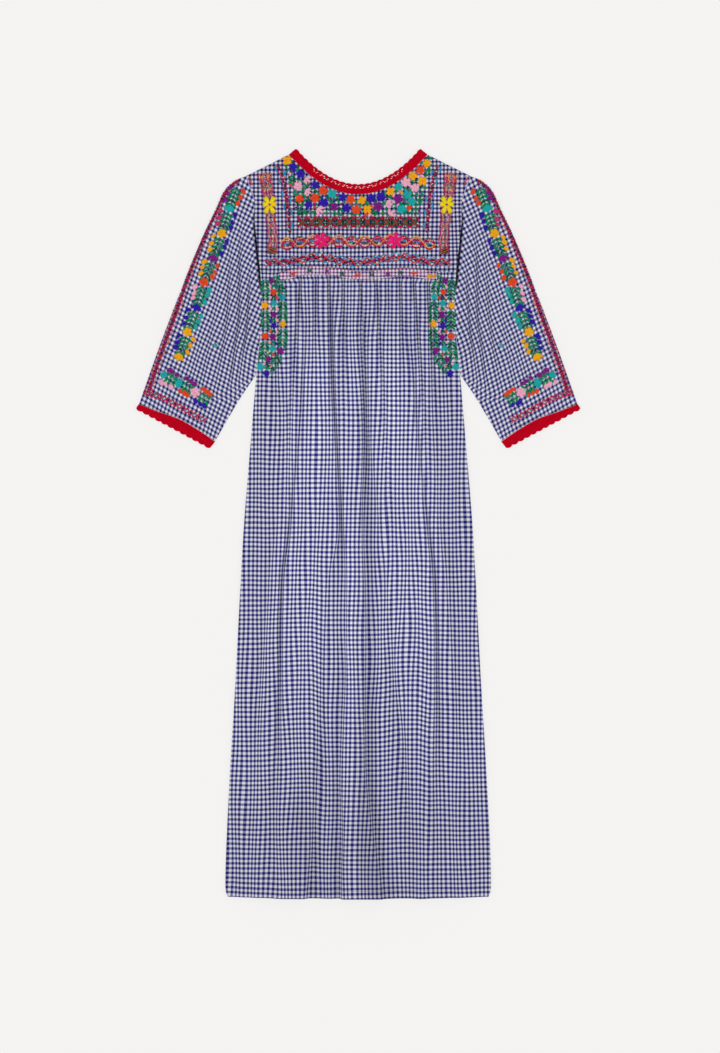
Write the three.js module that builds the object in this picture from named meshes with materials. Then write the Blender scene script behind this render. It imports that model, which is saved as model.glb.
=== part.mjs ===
// A gathered gingham midi dress, laid face up on a flat surface.
// Millimetres. X runs across the dress, Y from the hem to the neck, Z up from the surface.
// Every panel is a thin closed wall. The back panels lie on the surface, and the front panels lie
// on them. The skirt's folds are heights over the surface, read from short tables of sections.

import * as THREE from 'three';

// Walls and seams
const clothWall = 1.2;
const crochetWall = 1.6;
const bandWall = 1.0;
const seamGap = 0.3;

// Lengths and places along the dress
const neckTopY = 600.8;
const shoulderSeam = { neckX: 110.7, neckY: 591.2, armX: 179.5, armY: 556.8 };
const yokeSeam = { centreY: 408.5, endDrop: 4.5, dropAtX: 150 };
const underarmY = 238;
const hem = { centreY: -600.4, sideY: -597.9, halfWidth: 207 };

// Half the width of the body, from the shoulder seam's outer end down to the hem
const bodySections = [
  { y: 556.8, half: 179.5 },
  { y: 530, half: 169.5 },
  { y: 509.6, half: 164.8 },
  { y: 477.6, half: 162.8 },
  { y: 426.4, half: 157.2 },
  { y: 402.4, half: 154.4 },
  { y: 325.6, half: 154.2 },
  { y: 293.6, half: 157.4 },
  { y: 261.6, half: 161.2 },
  { y: 221.6, half: 164.8 },
  { y: 125.6, half: 172.8 },
  { y: 0, half: 183 },
  { y: -130, half: 190.4 },
  { y: -258, half: 197 },
  { y: -386, half: 204.8 },
  { y: -514, half: 211.2 },
  { y: -578, half: 212.8 },
  { y: -592, half: 211.4 },
  { y: -601, half: 207 },
];

// The front's long folds. Each climbs at one flank and falls at the other.
const frontFolds = {
  left: [
    { y: 400, climb: -96, climbWidth: 16, fall: -58, fallWidth: 22, height: 0 },
    { y: 300, climb: -104, climbWidth: 18, fall: -52, fallWidth: 26, height: 4 },
    { y: 102, climb: -128, climbWidth: 20, fall: -40, fallWidth: 30, height: 8 },
    { y: -58, climb: -134, climbWidth: 16, fall: -45, fallWidth: 30, height: 10 },
    { y: -218, climb: -148, climbWidth: 16, fall: -53, fallWidth: 32, height: 11.5 },
    { y: -378, climb: -154, climbWidth: 20, fall: -67, fallWidth: 28, height: 12 },
    { y: -490, climb: -168, climbWidth: 44, fall: -78, fallWidth: 28, height: 11.5 },
    { y: -602, climb: -176, climbWidth: 60, fall: -82, fallWidth: 30, height: 11 },
  ],
  centre: [
    { y: 400, climb: -31, climbWidth: 14, fall: 4, fallWidth: 14, height: 0 },
    { y: 300, climb: -28, climbWidth: 16, fall: 9, fallWidth: 16, height: 5 },
    { y: 102, climb: -23, climbWidth: 18, fall: 12, fallWidth: 16, height: 10 },
    { y: -58, climb: -21, climbWidth: 19, fall: 10, fallWidth: 16, height: 13 },
    { y: -218, climb: -19, climbWidth: 20, fall: 9.5, fallWidth: 16, height: 15 },
    { y: -378, climb: -27, climbWidth: 22, fall: 12, fallWidth: 18, height: 15.5 },
    { y: -490, climb: -27, climbWidth: 24, fall: 22, fallWidth: 28, height: 16 },
    { y: -602, climb: -27, climbWidth: 26, fall: 32, fallWidth: 38, height: 16 },
  ],
  right: [
    { y: 400, climb: 36, climbWidth: 14, fall: 66, fallWidth: 18, height: 0 },
    { y: 300, climb: 44, climbWidth: 16, fall: 80, fallWidth: 20, height: 4 },
    { y: 102, climb: 47, climbWidth: 18, fall: 102, fallWidth: 22, height: 8.5 },
    { y: -58, climb: 41, climbWidth: 20, fall: 117, fallWidth: 24, height: 10 },
    { y: -218, climb: 50, climbWidth: 22, fall: 117, fallWidth: 30, height: 11 },
    { y: -378, climb: 51, climbWidth: 26, fall: 96, fallWidth: 34, height: 10 },
    { y: -490, climb: 60, climbWidth: 26, fall: 94, fallWidth: 36, height: 9.5 },
    { y: -602, climb: 67, climbWidth: 26, fall: 98, fallWidth: 36, height: 9.5 },
  ],
  side: [
    { y: 400, climb: 98, climbWidth: 14, fall: 120, fallWidth: 14, height: 0 },
    { y: 300, climb: 108, climbWidth: 14, fall: 134, fallWidth: 16, height: 3 },
    { y: 102, climb: 128, climbWidth: 16, fall: 154, fallWidth: 18, height: 7 },
    { y: -58, climb: 136, climbWidth: 15, fall: 168, fallWidth: 20, height: 8.5 },
    { y: -218, climb: 149, climbWidth: 15, fall: 176, fallWidth: 22, height: 8.5 },
    { y: -378, climb: 158, climbWidth: 20, fall: 187, fallWidth: 26, height: 6 },
    { y: -490, climb: 164, climbWidth: 30, fall: 192, fallWidth: 30, height: 3 },
    { y: -602, climb: 166, climbWidth: 40, fall: 196, fallWidth: 32, height: 0 },
  ],
};

// The gathers under the smocked band: place at the seam, how far down they run, and their height
const frontGathers = [
  { x: -117, run: 70, height: 3.6 },
  { x: -102, run: 105, height: 3.2 },
  { x: -86, run: 60, height: 3.8 },
  { x: -69, run: 130, height: 3.4 },
  { x: -55, run: 80, height: 3.0 },
  { x: -39, run: 115, height: 3.9 },
  { x: -24, run: 65, height: 3.3 },
  { x: -8, run: 140, height: 3.6 },
  { x: 7, run: 75, height: 3.1 },
  { x: 22, run: 120, height: 3.9 },
  { x: 38, run: 90, height: 3.2 },
  { x: 53, run: 150, height: 3.7 },
  { x: 69, run: 70, height: 3.3 },
  { x: 84, run: 110, height: 3.6 },
  { x: 100, run: 60, height: 3.8 },
  { x: 115, run: 85, height: 3.2 },
];
const gatherShape = { halfWidth: 7, startBelowSeam: 20, rampLength: 24, spread: 0.0011 };

// The back's soft troughs, seen from below, where the cloth lifts off the surface
const backFolds = [
  { top: -88, bottom: -118, halfWidth: 21, height: 4 },
  { top: -34, bottom: -52, halfWidth: 18, height: 3.4 },
  { top: 30, bottom: 44, halfWidth: 22, height: 4.2 },
  { top: 86, bottom: 128, halfWidth: 19, height: 3.6 },
];
const backFoldStart = { y: 372, length: 90 };

// How far the front floats over the back away from the side seams, and where that ends at the neck
const ease = { height: 1.7, overWidth: 30, neckStartY: 470, neckLength: 60 };
const yokeRipple = { height: 0.9, acrossPitch: 74, alongPitch: 58, fadeFromSeam: 36 };

// Neckline and its crochet edging
const neckline = { halfWidth: 99.2, depth: 57.1, edgingAtCentre: 15.9, scallops: 18, scallopDepth: 1.8 };

// The smocked band lies on the gathered top of the skirt
const smocking = { halfLength: 126, depth: 15.5, pleats: 24, pleatHeight: 0.55 };

// The left sleeve's edges. The right one mirrors it.
const sleeveOuterEdge = [
  [-179.8, 556.8], [-194, 551.5], [-207.5, 540.5], [-218, 526.5], [-225, 509.6],
  [-248.3, 461.6], [-275, 397.6], [-300, 333.6], [-324, 269.6], [-351.4, 191.2],
];
const sleeveUnderarmEdge = [[-185.9, 205.6], [-207.5, 169.6], [-229.1, 131.5]];
const cuffEdge = [[-351.4, 191.2], [-321, 179.6], [-287.1, 167.7], [-257, 150.6], [-229.1, 131.5]];
const cuffEdgingEdge = [[-356.8, 183.2], [-297.6, 151.4], [-238.4, 119.5]];
const sleevePuff = { height: 3.2, edgeFade: 0.22, endFade: 0.16 };
const sleeveCreases = [
  { along: 0.16, across: 0.62, reach: 0.34, halfWidth: 0.07, height: 1.6 },
  { along: 0.42, across: 0.7, reach: 0.3, halfWidth: 0.06, height: 1.2 },
  { along: 0.72, across: 0.45, reach: 0.36, halfWidth: 0.07, height: 1.0 },
];
const cuffScallops = { count: 12, depth: 1.5 };

// How finely each wall is divided
const divisions = {
  skirt: { rows: 20, growth: 1.3, rowsToUnderarm: 6 },
  skirtFront: { columns: 64, everyRow: 1 },
  skirtBack: { columns: 36, everyRow: 2 },
  yokeRows: 9,
  yokeFront: { side: 7, neck: neckline.scallops },
  yokeBack: { side: 5, neck: neckline.scallops },
  smocking: { rows: 2 },
  sleeve: { rings: 10 },
  foldSteps: 3,
  neckEdging: { perScallop: 2, rows: 2 },
  cuffEdging: { perScallop: 2, rings: 2 },
  rowSamples: 600,
};

const colours = {
  gingham: 0x8282a0,
  yoke: 0x8b7f98,
  smocking: 0xc79bb4,
  crochet: 0xbe0a26,
};

function smoothStep(value) {
  const t = Math.min(1, Math.max(0, value));
  return t * t * (3 - 2 * t);
}

function mix(from, to, share) {
  return from + (to - from) * share;
}

// Reads one column of a table of sections, whose rows run down the dress, with a smooth curve
function readSections(sections, column, y) {
  const last = sections.length - 1;
  if (y >= sections[0].y) return sections[0][column];
  if (y <= sections[last].y) return sections[last][column];
  let row = 0;
  while (sections[row + 1].y > y) row += 1;
  const upper = sections[row];
  const lower = sections[row + 1];
  const before = sections[Math.max(0, row - 1)];
  const after = sections[Math.min(last, row + 2)];
  const step = lower.y - upper.y;
  const share = (y - upper.y) / step;
  const upperSlope = ((lower[column] - before[column]) / (lower.y - before.y)) * step;
  const lowerSlope = ((after[column] - upper[column]) / (after.y - upper.y)) * step;
  const squared = share * share;
  const cubed = squared * share;
  return (2 * cubed - 3 * squared + 1) * upper[column] + (cubed - 2 * squared + share) * upperSlope
    + (3 * squared - 2 * cubed) * lower[column] + (cubed - squared) * lowerSlope;
}

function bodyHalfWidth(y) {
  return readSections(bodySections, 'half', y);
}

function yokeSeamY(x) {
  return yokeSeam.centreY - yokeSeam.endDrop * (x / yokeSeam.dropAtX) ** 2;
}

function hemY(x) {
  return mix(hem.centreY, hem.sideY, (x / hem.halfWidth) ** 2);
}

// A soft bump, one at its middle and nothing past its half width
function bump(offset, halfWidth) {
  const share = Math.min(1, Math.abs(offset) / halfWidth);
  return 0.5 + 0.5 * Math.cos(Math.PI * share);
}

// The height of the back over the surface
function backRise(x, y) {
  const started = smoothStep((backFoldStart.y - y) / backFoldStart.length);
  let rise = 0;
  for (const fold of backFolds) {
    const down = (backFoldStart.y - y) / (backFoldStart.y - hem.centreY);
    rise += fold.height * started * bump(x - mix(fold.top, fold.bottom, down), fold.halfWidth);
  }
  return rise;
}

function longFoldHeight(sections, x, y) {
  const climb = readSections(sections, 'climb', y);
  const climbWidth = readSections(sections, 'climbWidth', y);
  const fall = readSections(sections, 'fall', y);
  const fallWidth = readSections(sections, 'fallWidth', y);
  const climbed = smoothStep((x - climb) / climbWidth + 0.5);
  const fallen = smoothStep((x - fall) / fallWidth + 0.5);
  return readSections(sections, 'height', y) * climbed * (1 - fallen);
}

function gatherHeight(x, y) {
  const below = yokeSeamY(x) - y;
  if (below <= 0) return 0;
  let height = 0;
  for (const gather of frontGathers) {
    const centre = gather.x * (1 + gatherShape.spread * below);
    const started = smoothStep((below - gatherShape.startBelowSeam) / gatherShape.rampLength);
    const ended = smoothStep((below - gatherShape.startBelowSeam - gatherShape.rampLength) / gather.run);
    height += gather.height * started * (1 - ended) * bump(x - centre, gatherShape.halfWidth);
  }
  return height;
}

// Everything fades to nothing at the side seams, so that front and back meet there
function insideSideSeam(x, y) {
  return smoothStep((bodyHalfWidth(y) - Math.abs(x)) / ease.overWidth);
}

function frontEase(x, y) {
  const towardsNeck = smoothStep((y - ease.neckStartY) / ease.neckLength);
  return ease.height * insideSideSeam(x, y) * (1 - towardsNeck);
}

// Heights of the middle of each wall over the surface
function backMiddle(x, y) {
  return clothWall / 2 + backRise(x, y) * insideSideSeam(x, y);
}

function skirtFrontMiddle(x, y) {
  let folds = backRise(x, y) + gatherHeight(x, y);
  for (const sections of Object.values(frontFolds)) folds += longFoldHeight(sections, x, y);
  return clothWall * 1.5 + seamGap + frontEase(x, y) + folds * insideSideSeam(x, y);
}

function yokeFrontMiddle(x, y) {
  const aboveSeam = smoothStep((y - yokeSeamY(x)) / yokeRipple.fadeFromSeam);
  const across = Math.sin((Math.PI * x) / yokeRipple.acrossPitch);
  const along = Math.sin((Math.PI * y) / yokeRipple.alongPitch);
  const ripple = yokeRipple.height * (0.5 + 0.5 * across * along);
  const towardsNeck = smoothStep((y - ease.neckStartY) / ease.neckLength);
  const held = aboveSeam * insideSideSeam(x, y) * (1 - towardsNeck);
  return clothWall * 1.5 + seamGap + frontEase(x, y) + ripple * held;
}

// The direction that a height over the surface faces at a point
function facing(middle, x, y) {
  const reach = 0.5;
  const slopeX = (middle(x + reach, y) - middle(x - reach, y)) / (2 * reach);
  const slopeY = (middle(x, y + reach) - middle(x, y - reach)) / (2 * reach);
  return new THREE.Vector3(-slopeX, -slopeY, 1).normalize();
}

// Turns a closed set of triangles the right way out
function facedOutward(points, triangles) {
  const across = new THREE.Vector3();
  let volume = 0;
  for (const [a, b, c] of triangles) {
    volume += points[a].dot(across.crossVectors(points[b], points[c]));
  }
  if (volume > 0) return triangles;
  return triangles.map(([a, b, c]) => [a, c, b]);
}

function solid(name, colour, points, triangles) {
  const geometry = new THREE.BufferGeometry().setFromPoints(points);
  geometry.setIndex(facedOutward(points, triangles).flat());
  geometry.computeVertexNormals();
  const material = new THREE.MeshStandardMaterial({ color: colour, roughness: 0.9, metalness: 0 });
  const mesh = new THREE.Mesh(geometry, material);
  mesh.name = name;
  return mesh;
}

// A sheet of cloth: a grid of middle points, each moved half the wall each way along its facing
function sheetWall(name, colour, columns, rows, wall, middlePoint) {
  const upper = [];
  const lower = [];
  for (let j = 0; j <= rows; j += 1) {
    for (let i = 0; i <= columns; i += 1) {
      const { point, normal } = middlePoint(i / columns, j / rows, i, j);
      upper.push(point.clone().addScaledVector(normal, wall / 2));
      lower.push(point.clone().addScaledVector(normal, -wall / 2));
    }
  }
  const points = [...upper, ...lower];
  const at = (i, j) => j * (columns + 1) + i;
  const under = upper.length;
  const triangles = [];
  const quad = (a, b, c, d) => triangles.push([a, b, c], [a, c, d]);
  for (let j = 0; j < rows; j += 1) {
    for (let i = 0; i < columns; i += 1) {
      const corners = [at(i, j), at(i + 1, j), at(i + 1, j + 1), at(i, j + 1)];
      quad(...corners);
      quad(...corners.map((corner) => corner + under).reverse());
    }
  }
  const edge = (a, b) => quad(b, a, a + under, b + under);
  for (let i = 0; i < columns; i += 1) {
    edge(at(i, 0), at(i + 1, 0));
    edge(at(i + 1, rows), at(i, rows));
  }
  for (let j = 0; j < rows; j += 1) {
    edge(at(columns, j), at(columns, j + 1));
    edge(at(0, j + 1), at(0, j));
  }
  return solid(name, colour, points, triangles);
}

// A tube of cloth: rings of middle points, each moved half the wall each way, open at both ends
function tubeWall(name, colour, { around, along }, wall, middlePoint) {
  const outer = [];
  const inner = [];
  for (let j = 0; j <= along; j += 1) {
    for (let k = 0; k < around; k += 1) {
      const { point, normal } = middlePoint(k, j / along);
      outer.push(point.clone().addScaledVector(normal, wall / 2));
      inner.push(point.clone().addScaledVector(normal, -wall / 2));
    }
  }
  const points = [...outer, ...inner];
  const at = (k, j) => j * around + (k % around);
  const inside = outer.length;
  const triangles = [];
  const quad = (a, b, c, d) => triangles.push([a, b, c], [a, c, d]);
  for (let k = 0; k < around; k += 1) {
    for (let j = 0; j < along; j += 1) {
      const corners = [at(k, j), at(k + 1, j), at(k + 1, j + 1), at(k, j + 1)];
      quad(...corners);
      quad(...corners.map((corner) => corner + inside).reverse());
    }
    quad(at(k + 1, 0), at(k, 0), at(k, 0) + inside, at(k + 1, 0) + inside);
    quad(at(k, along), at(k + 1, along), at(k + 1, along) + inside, at(k, along) + inside);
  }
  return solid(name, colour, points, triangles);
}

// One row across the skirt: its height up the dress at each place, and where it meets the side seam
function skirtRow(share) {
  const rowY = (x) => mix(yokeSeamY(x) - seamGap, hemY(x), share);
  const sideY = rowY(bodyHalfWidth(rowY(yokeSeam.dropAtX)));
  return { rowY, sideY, half: bodyHalfWidth(sideY) };
}

// Places across a row, at equal steps along the folded cloth, as its warp threads lie
function threadPlaces(middle, { rowY, half }, columns) {
  const samples = divisions.rowSamples;
  const places = [-half];
  const lengths = [0];
  for (let n = 1; n <= samples; n += 1) {
    const x = mix(-half, half, n / samples);
    const rise = middle(x, rowY(x)) - middle(places[n - 1], rowY(places[n - 1]));
    lengths.push(lengths[n - 1] + Math.hypot(x - places[n - 1], rise));
    places.push(x);
  }
  const threads = [];
  let n = 1;
  for (let i = 0; i <= columns; i += 1) {
    const wanted = (lengths[samples] * i) / columns;
    while (n < samples && lengths[n] < wanted) n += 1;
    const share = (wanted - lengths[n - 1]) / (lengths[n] - lengths[n - 1]);
    threads.push(mix(places[n - 1], places[n], share));
  }
  return threads;
}

// Shares down the skirt where its rows lie: every one beside the armhole, fewer below it
function skirtRowShares(everyRow) {
  const { rows, growth, rowsToUnderarm } = divisions.skirt;
  const shares = [];
  for (let j = 0; j <= rows; j += 1) {
    if (j <= rowsToUnderarm || (j - rowsToUnderarm) % everyRow === 0) shares.push((j / rows) ** growth);
  }
  return shares;
}

function skirtPanel(name, middle, { columns, everyRow }) {
  const laidRows = skirtRowShares(everyRow).map((share) => {
    const row = skirtRow(share);
    return { ...row, threads: threadPlaces(middle, row, columns) };
  });
  return sheetWall(name, colours.gingham, columns, laidRows.length - 1, clothWall, (u, v, i, j) => {
    const { rowY, threads } = laidRows[j];
    const x = threads[i];
    const y = rowY(x);
    return { point: new THREE.Vector3(x, y, middle(x, y)), normal: facing(middle, x, y) };
  });
}

function necklineY(x) {
  return neckTopY - neckline.depth * (1 - (x / neckline.halfWidth) ** 2);
}

// The seam between yoke and edging, at a share from the left shoulder to the right one
function neckSeamCurve(share) {
  const x = shoulderSeam.neckX * Math.sin(Math.PI * (share - 0.5));
  const depth = shoulderSeam.neckY - (neckTopY - neckline.depth - neckline.edgingAtCentre);
  return new THREE.Vector2(x, shoulderSeam.neckY - depth * (1 - (x / shoulderSeam.neckX) ** 2));
}

// The two edges of the edging. The seam runs straight from one scallop to the next.
function neckEdges(share) {
  const innerX = neckline.halfWidth * Math.sin(Math.PI * (share - 0.5));
  const place = share * neckline.scallops;
  const before = Math.min(neckline.scallops - 1, Math.floor(place + 1e-9));
  const start = neckSeamCurve(before / neckline.scallops);
  const end = neckSeamCurve((before + 1) / neckline.scallops);
  return { inner: new THREE.Vector2(innerX, necklineY(innerX)), outer: start.lerp(end, place - before) };
}

// The height of the yoke's armhole edge, from its lower corner to the shoulder
function yokeSideY(v) {
  const corner = yokeSeamY(bodyHalfWidth(yokeSeamY(yokeSeam.dropAtX)));
  return mix(corner, shoulderSeam.armY, v);
}

// The yoke spans the seam below, the armholes at its sides, and the shoulders and neck above
function yokePoint(u, v, sideShare) {
  const bottomHalf = bodyHalfWidth(yokeSideY(0));
  const bottomX = mix(-bottomHalf, bottomHalf, u);
  const bottom = new THREE.Vector2(bottomX, yokeSeamY(bottomX));
  const top = yokeTop(u, sideShare);
  const sideY = yokeSideY(v);
  const straightHalf = mix(bottomHalf, shoulderSeam.armX, v);
  const bulge = bodyHalfWidth(sideY) - straightHalf;
  const point = bottom.clone().lerp(top, v);
  point.x += bulge * (2 * u - 1);
  return point;
}

function yokeTop(u, sideShare) {
  const { neckX, neckY, armX, armY } = shoulderSeam;
  const fromSide = Math.min(u, 1 - u);
  const sign = u < 0.5 ? -1 : 1;
  if (fromSide <= sideShare) {
    const share = fromSide / sideShare;
    return new THREE.Vector2(sign * mix(armX, neckX, share), mix(armY, neckY, share));
  }
  const { outer, inner } = neckEdges((u - sideShare) / (1 - 2 * sideShare));
  const inward = outer.clone().sub(inner).normalize().multiplyScalar(seamGap);
  return outer.add(inward);
}

function yokePanel(name, middle, { side, neck }) {
  const columns = 2 * side + neck;
  return sheetWall(name, colours.yoke, columns, divisions.yokeRows, clothWall, (u, v) => {
    const { x, y } = yokePoint(u, v, side / columns);
    return { point: new THREE.Vector3(x, y, middle(x, y)), normal: facing(middle, x, y) };
  });
}

function smockedBand() {
  const columns = smocking.pleats * 2;
  const { rows } = divisions.smocking;
  return sheetWall('smocked_band', colours.smocking, columns, rows, bandWall, (u, v, i) => {
    const x = mix(-smocking.halfLength, smocking.halfLength, u);
    const y = yokeSeamY(x) - seamGap - smocking.depth * v;
    const normal = facing(skirtFrontMiddle, x, y);
    const pleat = i % 2 === 0 ? smocking.pleatHeight : 0;
    const out = clothWall / 2 + seamGap + bandWall / 2 + pleat;
    const point = new THREE.Vector3(x, y, skirtFrontMiddle(x, y)).addScaledVector(normal, out);
    return { point, normal };
  });
}

function neckEdging(name, middleHeight) {
  const { perScallop, rows } = divisions.neckEdging;
  const columns = neckline.scallops * perScallop;
  const up = new THREE.Vector3(0, 0, 1);
  return sheetWall(name, colours.crochet, columns, rows, crochetWall, (u, v, i) => {
    const { inner, outer } = neckEdges(u);
    const dip = i % perScallop === 0 ? neckline.scallopDepth : 0;
    const towards = outer.clone().sub(inner).normalize();
    const scalloped = inner.clone().addScaledVector(towards, dip);
    const place = outer.clone().lerp(scalloped, v);
    return { point: new THREE.Vector3(place.x, place.y, middleHeight), normal: up };
  });
}

function edgeCurve(places) {
  return new THREE.SplineCurve(places.map(([x, y]) => new THREE.Vector2(x, y)));
}

// The armhole seam, from the shoulder down to the underarm, just outside the body
function armholeAt(share) {
  const y = mix(shoulderSeam.armY, underarmY, share);
  return new THREE.Vector2(-bodyHalfWidth(y) - seamGap, y);
}

// The sleeve's places along the armhole, at the corners of the front's own edge
function armholeShares() {
  const { yokeRows, skirtFront } = divisions;
  const stops = [];
  for (let j = yokeRows - 1; j >= 0; j -= 1) stops.push(yokeSideY(j / yokeRows));
  for (const share of skirtRowShares(skirtFront.everyRow)) {
    const { sideY } = skirtRow(share);
    if (share > 0 && sideY > underarmY + clothWall * 2) stops.push(sideY);
  }
  const shares = stops.map((y) => (shoulderSeam.armY - y) / (shoulderSeam.armY - underarmY));
  return [0, ...shares, 1];
}

// Equal steps, for an edge that meets no seam
function evenShares(columns) {
  return Array.from({ length: columns + 1 }, (_, k) => k / columns);
}

// A patch of the flat sleeve between its four edges: u from the outer edge to the underarm,
// v from the armhole to the cuff
function patchPoint(edges, u, v) {
  const { top, bottom, outer, under } = edges;
  const ruled = top(u).lerp(bottom(u), v);
  const sides = outer(v).lerp(under(v), u);
  const upper = outer(0).lerp(under(0), u);
  const lower = outer(1).lerp(under(1), u);
  return ruled.add(sides).sub(upper.lerp(lower, v));
}

function ringSize(shares) {
  return 2 * (shares.length + divisions.foldSteps);
}

// One point of a flattened tube: the front layer, a round fold, the back layer and a round fold
function flatTubePoint(edges, shares, wall, frontRise, k, v) {
  const { foldSteps } = divisions;
  const layer = shares.length;
  const foldRadius = (wall + seamGap) / 2;
  const outline = foldRadius + wall / 2;
  const width = edges.outer(v).distanceTo(edges.under(v));
  const inset = outline / width;
  const isFront = k < layer;
  const isBack = k >= layer + foldSteps && k < 2 * layer + foldSteps;
  if (isFront || isBack) {
    const share = shares[isFront ? k : 2 * layer + foldSteps - 1 - k];
    const u = Math.min(1 - inset, Math.max(inset, share));
    const place = patchPoint(edges, u, v);
    const height = outline + (isFront ? foldRadius + frontRise(u, v) : -foldRadius);
    return {
      point: new THREE.Vector3(place.x, place.y, height),
      normal: new THREE.Vector3(0, 0, isFront ? 1 : -1),
    };
  }
  const atUnderarm = k < layer + foldSteps;
  const step = atUnderarm ? k - layer : k - 2 * layer - foldSteps;
  const turn = (Math.PI * (step + 1)) / (foldSteps + 1);
  const centre = patchPoint(edges, atUnderarm ? 1 - inset : inset, v);
  const rim = patchPoint(edges, atUnderarm ? 1 : 0, v);
  const outward = rim.clone().sub(centre).normalize();
  const lift = atUnderarm ? Math.cos(turn) : -Math.cos(turn);
  const normal = new THREE.Vector3(outward.x * Math.sin(turn), outward.y * Math.sin(turn), lift);
  const point = new THREE.Vector3(centre.x, centre.y, outline).addScaledVector(normal, foldRadius);
  return { point, normal };
}

function sleeveRise(u, v) {
  const fromEdge = smoothStep(Math.min(u, 1 - u) / sleevePuff.edgeFade);
  const fromEnd = smoothStep(Math.min(v, 1 - v) / sleevePuff.endFade);
  let rise = sleevePuff.height * fromEdge * fromEnd;
  for (const crease of sleeveCreases) {
    const near = bump(v - crease.along, crease.halfWidth) * bump(u - crease.across, crease.reach);
    rise += crease.height * near * fromEnd;
  }
  return rise;
}

function mirrored(middlePoint) {
  const flip = new THREE.Vector3(-1, 1, 1);
  return (k, v) => {
    const { point, normal } = middlePoint(k, v);
    return { point: point.multiply(flip), normal: normal.multiply(flip) };
  };
}

const outerCurve = edgeCurve(sleeveOuterEdge);
const underarmCurve = edgeCurve([armholeAt(1).toArray(), ...sleeveUnderarmEdge]);
const cuffCurve = edgeCurve(cuffEdge);
const cuffEdgingCurve = edgeCurve(cuffEdgingEdge);

const sleeveEdges = {
  top: (u) => armholeAt(u),
  bottom: (u) => cuffCurve.getPointAt(u),
  outer: (v) => outerCurve.getPointAt(v),
  under: (v) => underarmCurve.getPointAt(v),
};

function sleeve(name, isRight) {
  const shares = armholeShares();
  const point = (k, v) => flatTubePoint(sleeveEdges, shares, clothWall, sleeveRise, k, v);
  const size = { around: ringSize(shares), along: divisions.sleeve.rings };
  return tubeWall(name, colours.gingham, size, clothWall, isRight ? mirrored(point) : point);
}

function cuffEdging(name, isRight) {
  const { perScallop, rings } = divisions.cuffEdging;
  const columns = cuffScallops.count * perScallop;
  const away = cuffEdgingCurve.getPointAt(0.5).sub(cuffCurve.getPointAt(0.5)).normalize();
  const start = (u) => cuffCurve.getPointAt(u).addScaledVector(away, seamGap);
  const scallop = (u) => Math.abs(Math.sin(Math.PI * cuffScallops.count * u));
  const dip = (u) => cuffScallops.depth * (1 - scallop(u));
  const end = (u) => cuffEdgingCurve.getPointAt(u).addScaledVector(away, -dip(u));
  const edges = {
    top: start,
    bottom: end,
    outer: (v) => start(0).lerp(end(0), v),
    under: (v) => start(1).lerp(end(1), v),
  };
  const shares = evenShares(columns);
  const point = (k, v) => flatTubePoint(edges, shares, crochetWall, () => 0, k, v);
  const size = { around: ringSize(shares), along: rings };
  return tubeWall(name, colours.crochet, size, crochetWall, isRight ? mirrored(point) : point);
}

const dress = new THREE.Group();
dress.add(
  skirtPanel('skirt_back', backMiddle, divisions.skirtBack),
  skirtPanel('skirt_front', skirtFrontMiddle, divisions.skirtFront),
  yokePanel('yoke_back', () => clothWall / 2, divisions.yokeBack),
  yokePanel('yoke_front', yokeFrontMiddle, divisions.yokeFront),
  smockedBand(),
  neckEdging('neck_edging_back', crochetWall / 2),
  neckEdging('neck_edging_front', crochetWall * 1.5 + seamGap),
  sleeve('sleeve_left', false),
  sleeve('sleeve_right', true),
  cuffEdging('cuff_edging_left', false),
  cuffEdging('cuff_edging_right', true),
);

export default dress;
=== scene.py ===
import math
import random

import bmesh
import bpy
import numpy as np
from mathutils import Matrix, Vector
from mathutils.bvhtree import BVHTree


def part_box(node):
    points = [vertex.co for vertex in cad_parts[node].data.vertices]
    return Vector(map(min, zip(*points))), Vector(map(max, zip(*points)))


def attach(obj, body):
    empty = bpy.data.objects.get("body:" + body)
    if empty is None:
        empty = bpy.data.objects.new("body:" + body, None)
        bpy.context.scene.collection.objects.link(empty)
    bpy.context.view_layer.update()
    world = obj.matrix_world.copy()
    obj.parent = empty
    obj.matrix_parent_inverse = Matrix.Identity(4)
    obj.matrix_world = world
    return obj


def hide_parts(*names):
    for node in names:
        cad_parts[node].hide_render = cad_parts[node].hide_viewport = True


# A gingham midi dress with an embroidered yoke, laid face up. Tables are in millimetres.
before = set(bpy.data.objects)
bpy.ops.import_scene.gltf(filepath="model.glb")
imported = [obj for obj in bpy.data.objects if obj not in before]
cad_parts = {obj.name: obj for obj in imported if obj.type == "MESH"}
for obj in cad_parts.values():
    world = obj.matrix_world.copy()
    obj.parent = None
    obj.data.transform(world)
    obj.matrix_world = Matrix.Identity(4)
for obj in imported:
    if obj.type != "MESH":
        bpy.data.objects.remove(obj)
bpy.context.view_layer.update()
print("frame loaded:", len(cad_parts), "solids")

unit = 0.001
skirtLow, skirtHigh = (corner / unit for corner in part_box("skirt_front"))
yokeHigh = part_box("yoke_front")[1] / unit
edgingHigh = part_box("neck_edging_front")[1] / unit

seams = {
    "neckTop": edgingHigh.y + 0.4,
    "shoulderNeck": (110.7, yokeHigh.y), "shoulderArm": (yokeHigh.x, 556.8),
    "yokeCentre": skirtHigh.y + 0.3, "yokeDrop": 4.5, "yokeDropAt": 150,
    "wave": {"y": [160, 126, 79, 40, 0, -40, -75, -126, -160],  # read across the dress, left to right
             "rise": [-1.5, -2.7, 5.2, 1.8, -3.8, -1.2, 2, -1.4, -1.2]},
    "underarm": 238, "hemCentre": skirtLow.y, "hemSide": skirtLow.y + 2.5, "hemHalf": 207,
    "gap": 0.3,
}


def mix(low, high, share):
    return low + (high - low) * share


def smoothStep(value):
    t = np.clip(value, 0, 1)
    return t * t * (3 - 2 * t)


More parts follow.
